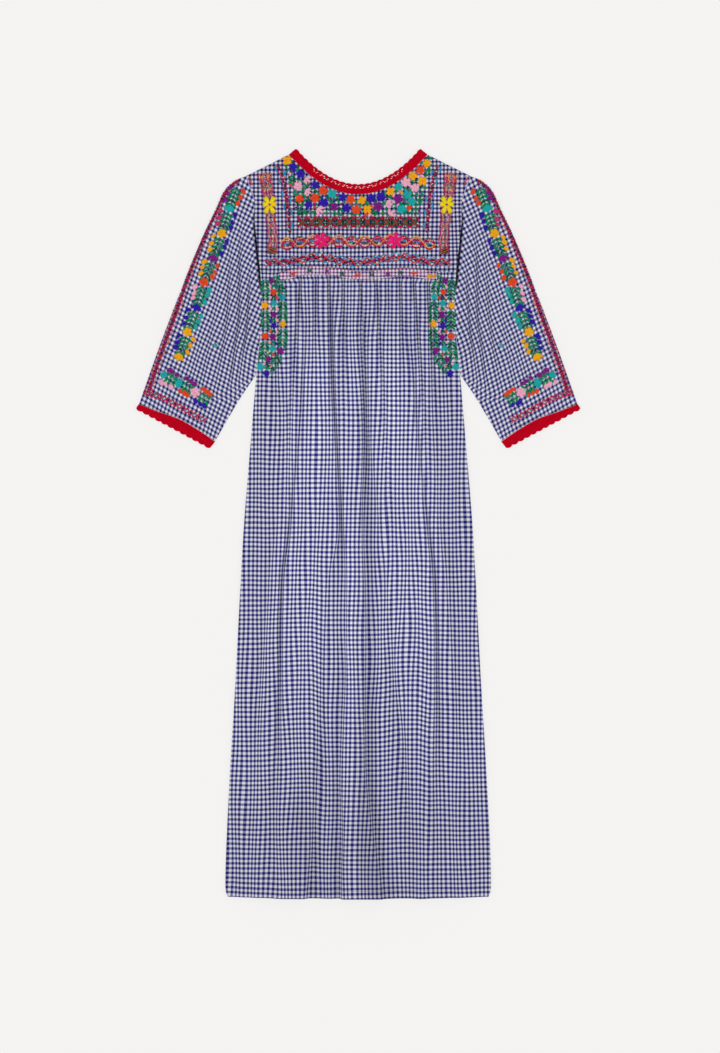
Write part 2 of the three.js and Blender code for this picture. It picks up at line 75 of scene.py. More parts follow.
def bump(offset, halfWidth):  # one at the middle, nothing past the half width
    return 0.5 + 0.5 * np.cos(np.pi * np.minimum(1, np.abs(offset) / halfWidth))


def readSections(sections, column, y):  # a smooth curve through one column, rows running down the dress
    at = -np.asarray(sections["y"], float)
    values = np.asarray(sections[column], float)
    y = np.clip(-np.asarray(y, float), at[0], at[-1])
    slopes = np.empty_like(values)
    slopes[1:-1] = (values[2:] - values[:-2]) / (at[2:] - at[:-2])
    slopes[0] = (values[1] - values[0]) / (at[1] - at[0])
    slopes[-1] = (values[-1] - values[-2]) / (at[-1] - at[-2])
    row = np.clip(np.searchsorted(at, y, side="right") - 1, 0, len(at) - 2)
    step = at[row + 1] - at[row]
    t = (y - at[row]) / step
    fromUpper = (2 * t**3 - 3 * t**2 + 1) * values[row] + (t**3 - 2 * t**2 + t) * slopes[row] * step
    return fromUpper + (3 * t**2 - 2 * t**3) * values[row + 1] + (t**3 - t**2) * slopes[row + 1] * step


# Shader groups and materials

def newGroup(name, inputs, outputs):
    group = bpy.data.node_groups.new(name, "ShaderNodeTree")
    for label, kind, value in inputs:
        socket = group.interface.new_socket(name=label, in_out="INPUT", socket_type=kind)
        if value is not None:
            socket.default_value = value
    for label, kind in outputs:
        group.interface.new_socket(name=label, in_out="OUTPUT", socket_type=kind)
    return group, group.nodes.new("NodeGroupInput"), group.nodes.new("NodeGroupOutput")


def mathNode(tree, operation, first, second=0.0, third=None, clamp=False):
    node = tree.nodes.new("ShaderNodeMath")
    node.operation, node.use_clamp = operation, clamp
    for index, value in enumerate((first, second, third)):
        if value is None:
            continue
        if isinstance(value, (int, float)):
            node.inputs[index].default_value = value
        else:
            tree.links.new(value, node.inputs[index])
    return node.outputs[0]


def mixColour(tree, factor, first, second, blend="MIX"):
    node = tree.nodes.new("ShaderNodeMix")
    node.data_type, node.blend_type = "RGBA", blend
    for index, value in ((0, factor), (6, first), (7, second)):
        if isinstance(value, (int, float, tuple)):
            node.inputs[index].default_value = value
        else:
            tree.links.new(value, node.inputs[index])
    return node.outputs[2]


def shadeColour(tree, colour, shade):  # the colour times a grey
    grey = tree.nodes.new("ShaderNodeCombineColor")
    for channel in range(3):
        tree.links.new(shade, grey.inputs[channel])
    return mixColour(tree, 1.0, colour, grey.outputs[0], "MULTIPLY")


def noiseNode(tree, place, scale, detail):
    noise = tree.nodes.new("ShaderNodeTexNoise")
    noise.inputs["Scale"].default_value = scale
    noise.inputs["Detail"].default_value = detail
    tree.links.new(place, noise.inputs["Vector"])
    return noise.outputs["Fac"]


def linear(red, green, blue):  # a colour picked on screen, as the shader wants it
    def channel(value):
        share = value / 255
        return share / 12.92 if share <= 0.04045 else ((share + 0.055) / 1.055) ** 2.4
    return channel(red), channel(green), channel(blue), 1.0


weaveGroup = {
    "checkPitch": 7.8, "yarnsPerCheck": 22, "checkBlur": 0.30, "yarnContrast": 0.34,
    "slub": 0.08, "slubScale": 0.9, "slubDetail": 3.0,
    "white": linear(222, 221, 224), "half": linear(119, 120, 166), "navy": linear(16, 16, 92),
}


def makeWeaveGroup(s):
    # Gingham: navy and white yarns in both directions, each check a pitch's half, in millimetres of cloth
    group, source, out = newGroup("ginghamWeave", [
        ("Cloth", "NodeSocketVector", None), ("Check Pitch", "NodeSocketFloat", s["checkPitch"]),
        ("White", "NodeSocketColor", s["white"]), ("Half", "NodeSocketColor", s["half"]),
        ("Navy", "NodeSocketColor", s["navy"]), ("Slub", "NodeSocketFloat", s["slub"]),
    ], [("Color", "NodeSocketColor"), ("Height", "NodeSocketFloat")])
    split = group.nodes.new("ShaderNodeSeparateXYZ")
    group.links.new(source.outputs["Cloth"], split.inputs[0])
    bands, yarns = [], []
    for axis in (0, 1):
        turns = mathNode(group, "DIVIDE", split.outputs[axis], source.outputs["Check Pitch"])
        wave = mathNode(group, "SINE", mathNode(group, "MULTIPLY", turns, math.tau))
        bands.append(mathNode(group, "MULTIPLY_ADD", wave, 0.5 / s["checkBlur"], 0.5, clamp=True))
        yarns.append(mathNode(group, "MULTIPLY", turns, math.tau * s["yarnsPerCheck"] / 2))
    over = mathNode(group, "MULTIPLY", mathNode(group, "SINE", yarns[0]), mathNode(group, "SINE", yarns[1]))
    over = mathNode(group, "MULTIPLY_ADD", over, 0.5, 0.5)
    mean = mathNode(group, "MULTIPLY", mathNode(group, "ADD", bands[0], bands[1]), 0.5)
    lead = mathNode(group, "SUBTRACT", bands[0], bands[1])
    swing = mathNode(group, "MULTIPLY", lead, mathNode(group, "SUBTRACT", over, 0.5))
    tone = mathNode(group, "MULTIPLY_ADD", swing, s["yarnContrast"], mean)
    lower = mixColour(group, mathNode(group, "MULTIPLY", tone, 2.0, clamp=True),
                      source.outputs["White"], source.outputs["Half"])
    upper = mathNode(group, "MULTIPLY_ADD", tone, 2.0, -1.0, clamp=True)
    colour = mixColour(group, upper, lower, source.outputs["Navy"])
    slubs = noiseNode(group, source.outputs["Cloth"], s["slubScale"], s["slubDetail"])
    slub = mathNode(group, "SUBTRACT", slubs, 0.5)
    uneven = mathNode(group, "MULTIPLY", slub, source.outputs["Slub"])
    shade = mathNode(group, "MULTIPLY_ADD", uneven, 2.0, 1.0)
    group.links.new(shadeColour(group, colour, shade), out.inputs["Color"])
    ribs = mathNode(group, "ADD", mathNode(group, "ABSOLUTE", mathNode(group, "SINE", yarns[0])),
                    mathNode(group, "ABSOLUTE", mathNode(group, "SINE", yarns[1])))
    group.links.new(mathNode(group, "ADD", ribs, slub), out.inputs["Height"])
    return group


threadGroupSettings = {
    "strands": 4, "twist": 2.0, "shade": 0.22, "patchScale": 140.0, "patchDetail": 2.0, "patchDepth": 0.3,
}


def makeThreadGroup(s):
    # Stranded cotton: fine ridges that run along the stitch with a slight twist, read from its own UV map
    group, source, out = newGroup("strandedThread", [
        ("Stitch", "NodeSocketVector", None), ("Colour", "NodeSocketColor", (0.5, 0.5, 0.5, 1)),
        ("Strands", "NodeSocketFloat", s["strands"]), ("Twist", "NodeSocketFloat", s["twist"]),
        ("Object", "NodeSocketVector", None),
    ], [("Color", "NodeSocketColor"), ("Height", "NodeSocketFloat")])
    split = group.nodes.new("ShaderNodeSeparateXYZ")
    group.links.new(source.outputs["Stitch"], split.inputs[0])
    around = mathNode(group, "MULTIPLY", split.outputs[0], source.outputs["Strands"])
    along = mathNode(group, "MULTIPLY", split.outputs[1], source.outputs["Twist"])
    phase = mathNode(group, "MULTIPLY", mathNode(group, "ADD", around, along), math.tau)
    ridge = mathNode(group, "MULTIPLY_ADD", mathNode(group, "SINE", phase), 0.5, 0.5)
    patches = noiseNode(group, source.outputs["Object"], s["patchScale"], s["patchDetail"])
    # painted shade in the grooves between the strands and a little painted light on their tops
    paintedRidgeShade = mathNode(group, "MULTIPLY_ADD", ridge, s["shade"], 1.0 - s["shade"] * 0.7)
    patchTone = mathNode(group, "MULTIPLY_ADD", patches, s["patchDepth"], 1.0 - s["patchDepth"] / 2)
    tone = mathNode(group, "MULTIPLY", paintedRidgeShade, patchTone)
    group.links.new(shadeColour(group, source.outputs["Colour"], tone), out.inputs["Color"])
    group.links.new(ridge, out.inputs["Height"])
    return group


looks = {
    "cloth": {"roughness": 0.9, "sheen": 0.04, "specular": 0.1, "bump": 0.35, "relief": 0.00012},
    "cotton": {"roughness": 0.6, "sheen": 0.0, "specular": 0.12, "bump": 0.5, "relief": 0.0002},
    "paper": {"roughness": 0.9, "sheen": 0.0, "specular": 0.1},
}


def newMaterial(name, look):
    material = bpy.data.materials.new(name)
    material.use_nodes = True
    shader = material.node_tree.nodes["Principled BSDF"]
    shader.inputs["Roughness"].default_value = look["roughness"]
    shader.inputs["Specular IOR Level"].default_value = look["specular"]
    shader.inputs["Sheen Weight"].default_value = look["sheen"]
    shader.inputs["Sheen Roughness"].default_value = 0.5
    return material, material.node_tree, shader


def placeGroup(tree, shader, group, mapName, look):
    node = tree.nodes.new("ShaderNodeGroup")
    node.node_tree = group
    uv = tree.nodes.new("ShaderNodeUVMap")
    uv.uv_map = mapName
    tree.links.new(uv.outputs[0], node.inputs[0])
    relief = tree.nodes.new("ShaderNodeBump")
    relief.inputs["Strength"].default_value = look["bump"]
    relief.inputs["Distance"].default_value = look["relief"]
    tree.links.new(node.outputs["Height"], relief.inputs["Height"])
    tree.links.new(node.outputs["Color"], shader.inputs["Base Color"])
    tree.links.new(relief.outputs[0], shader.inputs["Normal"])
    return node


ginghamWeave = makeWeaveGroup(weaveGroup)
strandedThread = makeThreadGroup(threadGroupSettings)


def ginghamMaterial(name, pitch, colours=None, slub=weaveGroup["slub"], paintedShade=False):
    material, tree, shader = newMaterial(name, looks["cloth"])
    node = placeGroup(tree, shader, ginghamWeave, "cloth", looks["cloth"])
    if paintedShade:  # painted light and shade read from the sheet: paler where the cloth stands out, darker where it lies deep
        tone = tree.nodes.new("ShaderNodeAttribute")
        tone.attribute_name = "tone"
        paintedColour = mixColour(tree, 1.0, node.outputs["Color"], tone.outputs["Color"], "MULTIPLY")
        tree.links.new(paintedColour, shader.inputs["Base Color"])
    node.inputs["Check Pitch"].default_value = pitch
    node.inputs["Slub"].default_value = slub
    for socket, colour in (colours or {}).items():
        node.inputs[socket].default_value = linear(*colour)
    return material


def threadMaterial(name, colour):
    material, tree, shader = newMaterial(name, looks["cotton"])
    node = placeGroup(tree, shader, strandedThread, "stitch", looks["cotton"])
    node.inputs["Colour"].default_value = colour
    place = tree.nodes.new("ShaderNodeTexCoord")
    tree.links.new(place.outputs["Object"], node.inputs["Object"])
    return material


print("materials ready")

# The form of the dress: outline, folds and gathers

body = {
    "y": [556.8, 530, 509.6, 477.6, 426.4, 402.4, 325.6, 293.6, 261.6, 221.6, 125.6, 0,
          -130, -258, -386, -514, -578, -592, -601],
    "half": [179.5, 169.5, 164.8, 162.8, 157.2, 154.4, 154.2, 157.4, 161.2, 164.8, 172.8, 183,
             190.4, 197, 204.8, 211.2, 212.8, 211.4, 207],
}

foldRows = [400, 300, 234, 138, 58, -20, -78, -158, -254, -334, -406, -494, -566, -602]
sideWidths = [10, 10, 11, 12, 12, 12, 11, 10, 10, 10, 14, 26, 40, 50]
creaseWidths = [6, 6, 6, 7, 8, 8, 8, 8, 9, 12, 16, 22, 30, 34]
frontFolds = {  # each long fold's climbing and falling wall down the skirt, with the walls' widths
    "sideLeft": {
        "y": foldRows,
        "climb": [-104, -110, -114, -119, -124, -131, -140, -146, -154, -157, -160, -166, -172, -176],
        "fall": [-84, -88, -92, -98, -106, -114, -123, -127, -128, -131, -134, -138, -142, -144],
        "climbWidth": sideWidths, "fallWidth": creaseWidths,
        "height": [0, 4, 6, 7.5, 8.5, 9, 9, 9, 8.5, 7.5, 6, 4.5, 3, 2.5],
    },
    "left": {
        "y": foldRows,
        "climb": [-78, -82, -86, -92, -100, -108, -117, -121, -122, -125, -128, -132, -136, -138],
        "fall": [-46, -46, -45, -39, -33, -33, -48, -54, -59, -65, -68, -73, -80, -84],
        "climbWidth": creaseWidths, "fallWidth": [6, 7, 8, 8, 8, 9, 12, 13, 13, 12, 12, 12, 12, 12],
        "height": [0, 4, 7, 9.5, 11, 12, 12, 12, 12, 12, 12, 12, 11.5, 11],
    },
    "centre": {
        "y": foldRows,
        "climb": [-38, -38, -37, -32, -27, -22, -18.5, -18, -20, -24, -28, -24, -26, -27],
        "fall": [7, 7.5, 8.5, 8.5, 6, 6.5, 8.5, 11, 10, 10, 11.5, 23, 34, 38],
        "climbWidth": [6, 7, 8, 8, 8, 8, 8, 9, 10, 12, 12, 11, 10, 10],
        "fallWidth": [6, 7, 8, 9, 9, 9, 9, 9, 9, 9, 10, 14, 16, 18],
        "height": [0, 5, 8, 10, 12, 13.5, 14.5, 15, 15, 15, 15.5, 16, 16, 16],
    },
    "right": {
        "y": foldRows,
        "climb": [14, 14, 15, 19, 30, 39, 44, 51, 60, 73, 80, 86, 90, 92],
        "fall": [78, 80, 86, 93, 101, 110, 118, 122, 122, 122, 120, 118, 116, 115],
        "climbWidth": [6, 7, 8, 12, 14, 12, 11, 11, 11, 11, 12, 16, 20, 22], "fallWidth": creaseWidths,
        "height": [0, 4, 6.5, 8.5, 9.5, 10, 10, 10, 10, 10, 9.5, 9.5, 9.5, 9.5],
    },
    "sideRight": {
        "y": foldRows,
        "climb": [84, 86, 92, 99, 107, 116, 124, 128, 129, 131, 134, 138, 142, 144],
        "fall": [104, 110, 114, 119, 125, 132, 140, 147, 154, 157, 160, 164, 170, 174],
        "climbWidth": creaseWidths, "fallWidth": sideWidths,
        "height": [0, 3.5, 5.5, 7, 8, 8.5, 8.5, 8.5, 8, 7, 5.5, 4, 3, 2.5],
    },
}
gathers = {  # valleys from under the smocked band: place at the seam, drift, how far down they run, depth
    "x": [-136, -121, -91, -67, -48.5, -24, 3.5, 28, 47, 66, 87, 110, 128],
    "drift": [-0.05, -0.06, -0.075, -0.02, 0.05, 0.0, 0.02, 0.06, 0.03, 0.04, 0.08, 0.06, 0.05],
    "run": [90, 260, 420, 170, 330, 320, 420, 560, 120, 210, 440, 300, 140],
    "depth": [0.5, 0.85, 1, 0.9, 1, 0.85, 1, 0.95, 0.65, 0.9, 1, 0.85, 0.6],
    "below": [0, 8, 24, 150, 400, 1010], "height": [0, 0, 6.8, 6.4, 4.0, 2.2],
    "halfWidth": 4.6, "widening": 0.014, "wide": 132, "spread": 0.06, "sides": 22,
}
foldCap = {"from": 12.5, "room": 4.0}
backFolds = {
    "top": [-88, -34, 30, 86], "bottom": [-118, -52, 44, 128], "halfWidth": [21, 18, 22, 19],
    "height": [4, 3.4, 4.2, 3.6], "startY": 372, "startLength": 90,
}
ease = {"height": 1.7, "width": 30, "neckStart": 470, "neckLength": 60}
yokeRipple = {"height": 0.9, "acrossPitch": 74, "alongPitch": 58, "fade": 36}
walls = {"cad": 1.2, "gap": 0.3, "cloth": 0.7}
armEdge = {"from": 366, "fade": 34, "to": 482, "upperFade": 40, "lift": 5.6, "width": 15, "overhang": 2.2}
creaseStart = {"below": 8, "fade": 60}


def bodyHalf(y):
    return readSections(body, "half", y)


def yokeSeamY(x):
    even = seams["yokeCentre"] - seams["yokeDrop"] * (x / seams["yokeDropAt"]) ** 2
    return even + readSections(seams["wave"], "rise", -np.asarray(x, float))


def hemY(x):
    return mix(seams["hemCentre"], seams["hemSide"], (x / seams["hemHalf"]) ** 2)


def creaseWaves(seed, count, across, along, height):  # small soft unevenness, the same on each run
    draw = random.Random(seed)
    waves = []
    for _ in range(count):
        waves.append((math.tau / draw.uniform(*across), math.tau / draw.uniform(*along),
                      draw.uniform(0, math.tau), height * draw.uniform(0.4, 1)))

    def total(x, y):
        bend = 9 * np.sin(y / 130 + seed)
        return sum(h * np.sin((x + bend) * kx + y * ky * sign + phase)
                   for sign, (kx, ky, phase, h) in zip((1, -1) * count, waves))
    return total


skirtCreases = creaseWaves(4, 11, (22, 66), (300, 900), 0.31)
grainDrift = creaseWaves(21, 6, (50, 130), (240, 640), 0.7)
clothCreases = creaseWaves(11, 8, (28, 70), (30, 80), 0.24)


def insideSeam(x, y):
    return smoothStep((bodyHalf(y) - np.abs(x)) / ease["width"])


def frontEase(x, y):
    return ease["height"] * insideSeam(x, y) * (1 - smoothStep((y - ease["neckStart"]) / ease["neckLength"]))


def backRise(x, y):
    started = smoothStep((backFolds["startY"] - y) / backFolds["startLength"])
    down = (backFolds["startY"] - y) / (backFolds["startY"] - seams["hemCentre"])
    rise = 0
    for top, bottom, width, height in zip(*(backFolds[k] for k in ("top", "bottom", "halfWidth", "height"))):
        rise = rise + height * started * bump(x - mix(top, bottom, down), width)
    return rise


def longFold(sections, x, y):
    columns = ("climb", "climbWidth", "fall", "fallWidth", "height")
    climb, climbWidth, fall, fallWidth, height = (readSections(sections, column, y) for column in columns)
    risen = smoothStep((x - climb) / climbWidth + 0.5)
    return height * risen * (1 - smoothStep((x - fall) / fallWidth + 0.5))


def gatherHeight(x, y):
    below = yokeSeamY(x) - y
    wide = gathers["wide"] + gathers["spread"] * below
    plateau = smoothStep((wide - np.abs(x)) / gathers["sides"] + 0.5)
    total = plateau
    for place, drift, run, depth in zip(*(gathers[k] for k in ("x", "drift", "run", "depth"))):
        ended = smoothStep((below - 0.4 * run) / (0.8 * run))
        width = gathers["halfWidth"] + gathers["widening"] * np.maximum(0, below)
        valley = depth * (1 - ended) * bump(x - place - drift * below, width)
        total = np.minimum(total, plateau * (1 - valley))
    return np.interp(below, gathers["below"], gathers["height"]) * total


def backMiddle(x, y):
    return walls["cad"] / 2 + backRise(x, y) * insideSeam(x, y)


def armWindow(y):  # where the body's edge stands up over the sleeve
    started = smoothStep((y - armEdge["from"]) / armEdge["fade"])
    return started * (1 - smoothStep((y - armEdge["to"]) / armEdge["upperFade"]))


def armOverhang(y, share):  # the edge reaches out there, share from -1 at the left edge to 1
    return armEdge["overhang"] * armWindow(y) * np.abs(share) ** 40 * np.sign(share)


def armLift(x, y):
    return armEdge["lift"] * armWindow(y) * (1 - smoothStep((bodyHalf(y) - np.abs(x)) / armEdge["width"]))


def skirtFrontMiddle(x, y):
    folds = backRise(x, y) + gatherHeight(x, y) + sum(longFold(s, x, y) for s in frontFolds.values())
    below = smoothStep((yokeSeamY(x) - y - creaseStart["below"]) / creaseStart["fade"])
    folds = folds + skirtCreases(x, y) * below
    over = np.maximum(0, folds - foldCap["from"])
    folds = folds - over * over / (over + foldCap["room"])
    return walls["cad"] * 1.5 + walls["gap"] + frontEase(x, y) + folds * insideSeam(x, y) + armLift(x, y)


def yokeFrontMiddle(x, y):
    above = smoothStep((y - yokeSeamY(x)) / yokeRipple["fade"])
    ripple = yokeRipple["height"] * (0.5 + 0.5 * np.sin(np.pi * x / yokeRipple["acrossPitch"])
                                     * np.sin(np.pi * y / yokeRipple["alongPitch"]))
    held = above * insideSeam(x, y) * (1 - smoothStep((y - ease["neckStart"]) / ease["neckLength"]))
    pucker = clothCreases(x, y) * above * insideSeam(x, y)
    return walls["cad"] * 1.5 + walls["gap"] + frontEase(x, y) + ripple * held + pucker + armLift(x, y)


# Cloth sheets

def meshPiece(name, points, faces, material, uvs=None, mapName="cloth"):
    mesh = bpy.data.meshes.new(name)
    mesh.from_pydata((np.asarray(points, float) * unit).tolist(), [], faces)
    if uvs is not None:
        layer = mesh.uv_layers.new(name=mapName)
        corners = np.empty(len(mesh.loops), np.int32)
        mesh.loops.foreach_get("vertex_index", corners)
        layer.data.foreach_set("uv", np.asarray(uvs, np.float32)[corners].ravel())
    mesh.materials.append(material)
    mesh.polygons.foreach_set("use_smooth", [True] * len(mesh.polygons))
    mesh.update()
    piece = bpy.data.objects.new(name, mesh)
    bpy.context.scene.collection.objects.link(piece)
    return piece


def selectOnly(pieces):  # the first one active
    bpy.ops.object.select_all(action="DESELECT")
    for piece in pieces:
        piece.select_set(True)
    bpy.context.view_layer.objects.active = pieces[0]


def thicken(piece, thickness):  # gives a sheet its wall, half to each side
    modifier = piece.modifiers.new("wall", "SOLIDIFY")
    modifier.thickness = thickness * unit
    modifier.offset = 0.0
    selectOnly([piece])
    bpy.ops.object.modifier_apply(modifier=modifier.name)


def gridFaces(columns, rows, closed=False):
    across = columns if closed else columns + 1
    faces = []
    for j in range(rows):
        for i in range(columns):
            k = (i + 1) % across
            faces.append((j * across + i, (j + 1) * across + i, (j + 1) * across + k, j * across + k))
    return faces


def finishSheet(piece, node):
    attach(piece, "root")
    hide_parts(node)


clothGrids = {
    "skirtFront": (290, 154), "skirtBack": (110, 70), "yokeFront": (190, 90), "yokeBack": (80, 36),
    "rowGrowth": 1.15, "samples": 1400, "fullness": (1.32, 1.21), "hemTurn": 14, "hemLift": 0.5,
    "hemSlope": 1.6, "creaseTake": 1.7,
}

# painted light falloff on the skirt: paler over its middle, not at its sides, and darker towards the hem
paintedFalloff = {
    "base": 0.99, "middle": 0.15, "half": 0.6, "sideFade": 0.24, "low": -430, "lowFade": 330, "high": 220,
    "highFade": 130, "hem": -0.08, "hemFrom": 380, "hemFade": 110,
}
shades = {  # painted shade and light: a length that lies deep between the folds is painted darker, and a broad crest lighter
    "valley": {"y": [350, 280, 190, 110, 0, -150, -300, -420, -520, -602],
               "x": [3, 6, 10, 13, 15, 14, 12, 12, 18, 34],
               "half": [10, 11, 14, 26, 28, 28, 28, 30, 38, 50],
               "tone": [0, -0.11, -0.12, -0.09, -0.11, -0.12, -0.15, -0.17, -0.23, -0.18]},
    "crest": {"y": [60, -20, -150, -400, -602], "x": [-13, -13, -13, -12, -10], "half": [10, 13, 14, 15, 17],
              "tone": [0, 0.07, 0.09, 0.09, 0.06]},
    "lowLeft": {"y": [-370, -450, -520, -602], "x": [-76, -90, -84, -70], "half": [26, 28, 40, 60],
                "tone": [0, -0.13, -0.11, -0.09]},
    "upperLeft": {"y": [300, 180, 60, -40], "x": [-66, -64, -68, -70], "half": [14, 20, 20, 16],
                  "tone": [0, 0.07, 0.07, 0]},
    "upperRight": {"y": [320, 200, 90, 0], "x": [50, 52, 60, 66], "half": [16, 22, 22, 18],
                   "tone": [0, 0.08, 0.06, 0]},
}


# lays painted light and shade on a sheet as its tone attribute
def layTone(piece, tones):
    colours = np.repeat(np.asarray(tones)[:, None], 4, 1).astype(np.float32)
    piece.data.attributes.new("tone", "FLOAT_COLOR", "POINT").data.foreach_set("color", colours.ravel())


# painted light and shade over the skirt: the falloff, then each painted length of shade or light
def paintedSkirtLight(x, y):
    s = paintedFalloff
    inside = 1 - smoothStep((np.abs(x) / bodyHalf(y) - s["half"]) / s["sideFade"])
    height = smoothStep((y - s["low"]) / s["lowFade"]) * (1 - smoothStep((y - s["high"]) / s["highFade"]))
    low = smoothStep((-y - s["hemFrom"]) / s["hemFade"])
    tone = s["base"] + s["middle"] * inside * height + s["hem"] * low
    for length in shades.values():
        place, half, depth = (readSections(length, column, y) for column in ("x", "half", "tone"))
        tone = tone + depth * bump(x - place, half)
    return tone


def skirtSheet(name, middle, size, material, swayed):
    columns, rows = size
    shares = (np.arange(rows + 1) / rows) ** clothGrids["rowGrowth"]
    points, threads = [], []
    for share in shares:
        side = mix(yokeSeamY(seams["yokeDropAt"]), seams["hemSide"], share)
        half = float(bodyHalf(side))
        x = np.linspace(-half, half, clothGrids["samples"])
        y = mix(yokeSeamY(x) - seams["gap"], hemY(x), share)
        z = middle(x, y)
        lengths = np.concatenate([[0], np.cumsum(np.hypot(np.diff(x), np.diff(z)))])
        wanted = np.linspace(0, lengths[-1], columns + 1)
        places = np.interp(wanted, lengths, x)
        down = np.interp(places, x, y)
        turnedUp = smoothStep((hemY(places) + clothGrids["hemTurn"] - down) / clothGrids["hemSlope"])
        out = armOverhang(down, np.linspace(-1, 1, columns + 1))
        height = middle(places, down) + clothGrids["hemLift"] * turnedUp
        points.append(np.stack([places + out, down, height], 1))
        threads.append((wanted / lengths[-1] - 0.5) * 2 * half * mix(*clothGrids["fullness"], share))
    uvs = []
    for across, down in zip(threads, points):
        x, y = down[:, 0], down[:, 1]
        drift = grainDrift(x, y) + clothGrids["creaseTake"] * skirtCreases(x, y)
        uvs.append(np.stack([across + drift, y + swayed(x, y)], 1))
    points = np.concatenate(points)
    piece = meshPiece(name, points, gridFaces(columns, rows), material, np.concatenate(uvs))
    # the painted light and shade laid on the sheet as its tone
    layTone(piece, paintedSkirtLight(points[:, 0], points[:, 1]))
    return piece


sway = {
    "at": -300, "half": 330, "closer": 0.11, "closerFrom": 180, "closerLength": 360, "gathers": 0.2,
    "drift": 0.6,
    # height, where it starts and over what width, where it ends and over what width
    "lifts": [(7, -190, 105, -78, 26), (5, 20, 60, 92, 26), (-4, 125, 70, 300, 1)],
}


def frontSway(x, y):  # how the weft rows rise and dip across the folds
    lift = 0
    for height, start, startFade, end, endFade in sway["lifts"]:
        lift = lift + height * smoothStep((x - start) / startFade) * (1 - smoothStep((x - end) / endFade))
    closer = sway["closer"] * np.maximum(0, y - sway["closerFrom"]) ** 2 / sway["closerLength"]
    lifted = closer - lift * bump(y - sway["at"], sway["half"])
    return lifted + sway["gathers"] * gatherHeight(x, y) + sway["drift"] * grainDrift(y, x)


checks = {
    "skirt": 7.8, "yoke": 6.5, "sleeve": 7.0,
    "yokeColours": {"White": (216, 214, 216), "Half": (104, 102, 152), "Navy": (10, 8, 74)},
}
skirtGingham = ginghamMaterial("skirtGingham", checks["skirt"], paintedShade=True)
yokeGingham = ginghamMaterial("yokeGingham", checks["yoke"], checks["yokeColours"])
sleeveGingham = ginghamMaterial("sleeveGingham", checks["sleeve"], paintedShade=True)

skirtFront = skirtSheet("skirtFront", skirtFrontMiddle, clothGrids["skirtFront"], skirtGingham, frontSway)
skirtBack = skirtSheet("skirtBack", backMiddle, clothGrids["skirtBack"], skirtGingham, lambda x, y: 0 * x)
print("skirt laid")

neckline = {"half": 99.2, "depth": 57.1, "edging": 15.9}
yokeForm = {"shoulderShare": 0.19, "rowsTaken": 0.945, "rowDrift": 0.7}


def neckSeam(share):
    x = seams["shoulderNeck"][0] * np.sin(np.pi * (share - 0.5))
    low = seams["neckTop"] - neckline["depth"] - neckline["edging"]
    return x, mix(low, seams["shoulderNeck"][1], (x / seams["shoulderNeck"][0]) ** 2)


def yokeSheet(name, middle, size, material):
    columns, rows = size
    side = yokeForm["shoulderShare"]
    u = np.linspace(0, 1, columns + 1)
    shoulder, arm = seams["shoulderNeck"], seams["shoulderArm"]
    fromSide = np.minimum(u, 1 - u) / side
    sign = np.where(u < 0.5, -1, 1)
    seamX, seamY = neckSeam(np.clip((u - side) / (1 - 2 * side), 0, 1))
    topX = np.where(fromSide <= 1, sign * mix(arm[0], shoulder[0], np.minimum(1, fromSide)), seamX)
    topY = np.where(fromSide <= 1, mix(arm[1], shoulder[1], np.minimum(1, fromSide)), seamY - seams["gap"])
    corner = yokeSeamY(float(bodyHalf(yokeSeamY(seams["yokeDropAt"]))))
    bottomHalf = float(bodyHalf(corner))
    bottomX = mix(-bottomHalf, bottomHalf, u)
    points = []
    for v in np.linspace(0, 1, rows + 1)[::-1]:
        sideY = mix(corner, arm[1], v)
        bulge = float(bodyHalf(sideY)) - mix(bottomHalf, arm[0], v)
        x = mix(bottomX, topX, v) + bulge * (2 * u - 1)
        y = mix(yokeSeamY(bottomX), topY, v)
        points.append(np.stack([x + armOverhang(y, 2 * u - 1), y, middle(x, y)], 1))
    points = np.concatenate(points)
    x, y = points[:, 0], points[:, 1]
    rowDrift = yokeForm["rowDrift"] * grainDrift(y + 60, x)
    uvs = np.stack([x + grainDrift(x, y), y * yokeForm["rowsTaken"] + rowDrift], 1)
    return meshPiece(name, points, gridFaces(columns, rows), material, uvs)


yokeFront = yokeSheet("yokeFront", yokeFrontMiddle, clothGrids["yokeFront"], yokeGingham)
yokeBack = yokeSheet("yokeBack", lambda x, y: walls["cad"] / 2 + 0 * x, clothGrids["yokeBack"], yokeGingham)
print("yoke laid")

# Sleeves: flattened tubes between four edges

sleeveEdges = {
    "outer": [(-179.8, 556.8), (-194, 551.5), (-207.5, 540.5), (-218, 526.5), (-225, 509.6), (-248.3, 461.6),
              (-275, 397.6), (-300, 333.6), (-324, 269.6), (-351.4, 191.2)],
    "under": [(-163.8, 238), (-185.9, 205.6), (-207.5, 169.6), (-229.1, 131.5)],
    "cuff": [(-351.4, 191.2), (-321, 179.6), (-287.1, 167.7), (-257, 150.6), (-229.1, 131.5)],
    "edging": [(-356.8, 183.2), (-297.6, 151.4), (-238.4, 119.5)],
}
sleeveForm = {
    "puff": 4.4, "edgeFade": 0.22, "endFade": 0.16, "creaseFade": 0.1,
    "armRoll": 5.6, "rollAt": 0.38, "rollHalf": 0.3, "rollFrom": 0.035, "rollFade": 0.12, "slotFade": 2.2,
    "columns": 64, "rings": 96, "foldSteps": 6, "crowd": 1.6,
}
sleeveFolds = [  # troughs down the sleeve, left one: the line, how deep along it, half width
    ([(-186, 500), (-190, 418), (-191, 325), (-196, 294), (-206, 215)], [0, 3.2, 3.6, 3.4, 1.4], 5.5),
    ([(-203, 480), (-206, 400), (-210, 330), (-217, 280), (-232, 200)], [0, 2.4, 3.0, 2.6, 0.6], 6),
    ([(-172, 440), (-175, 370), (-180, 300), (-192, 225)], [0, 3.0, 3.4, 1.4], 5),
    ([(-222, 430), (-228, 350), (-240, 280), (-256, 200)], [0, 1.6, 2.2, 0.8], 7),
    ([(-246, 330), (-258, 270), (-276, 205)], [0, 1.6, 0.6], 8),
]


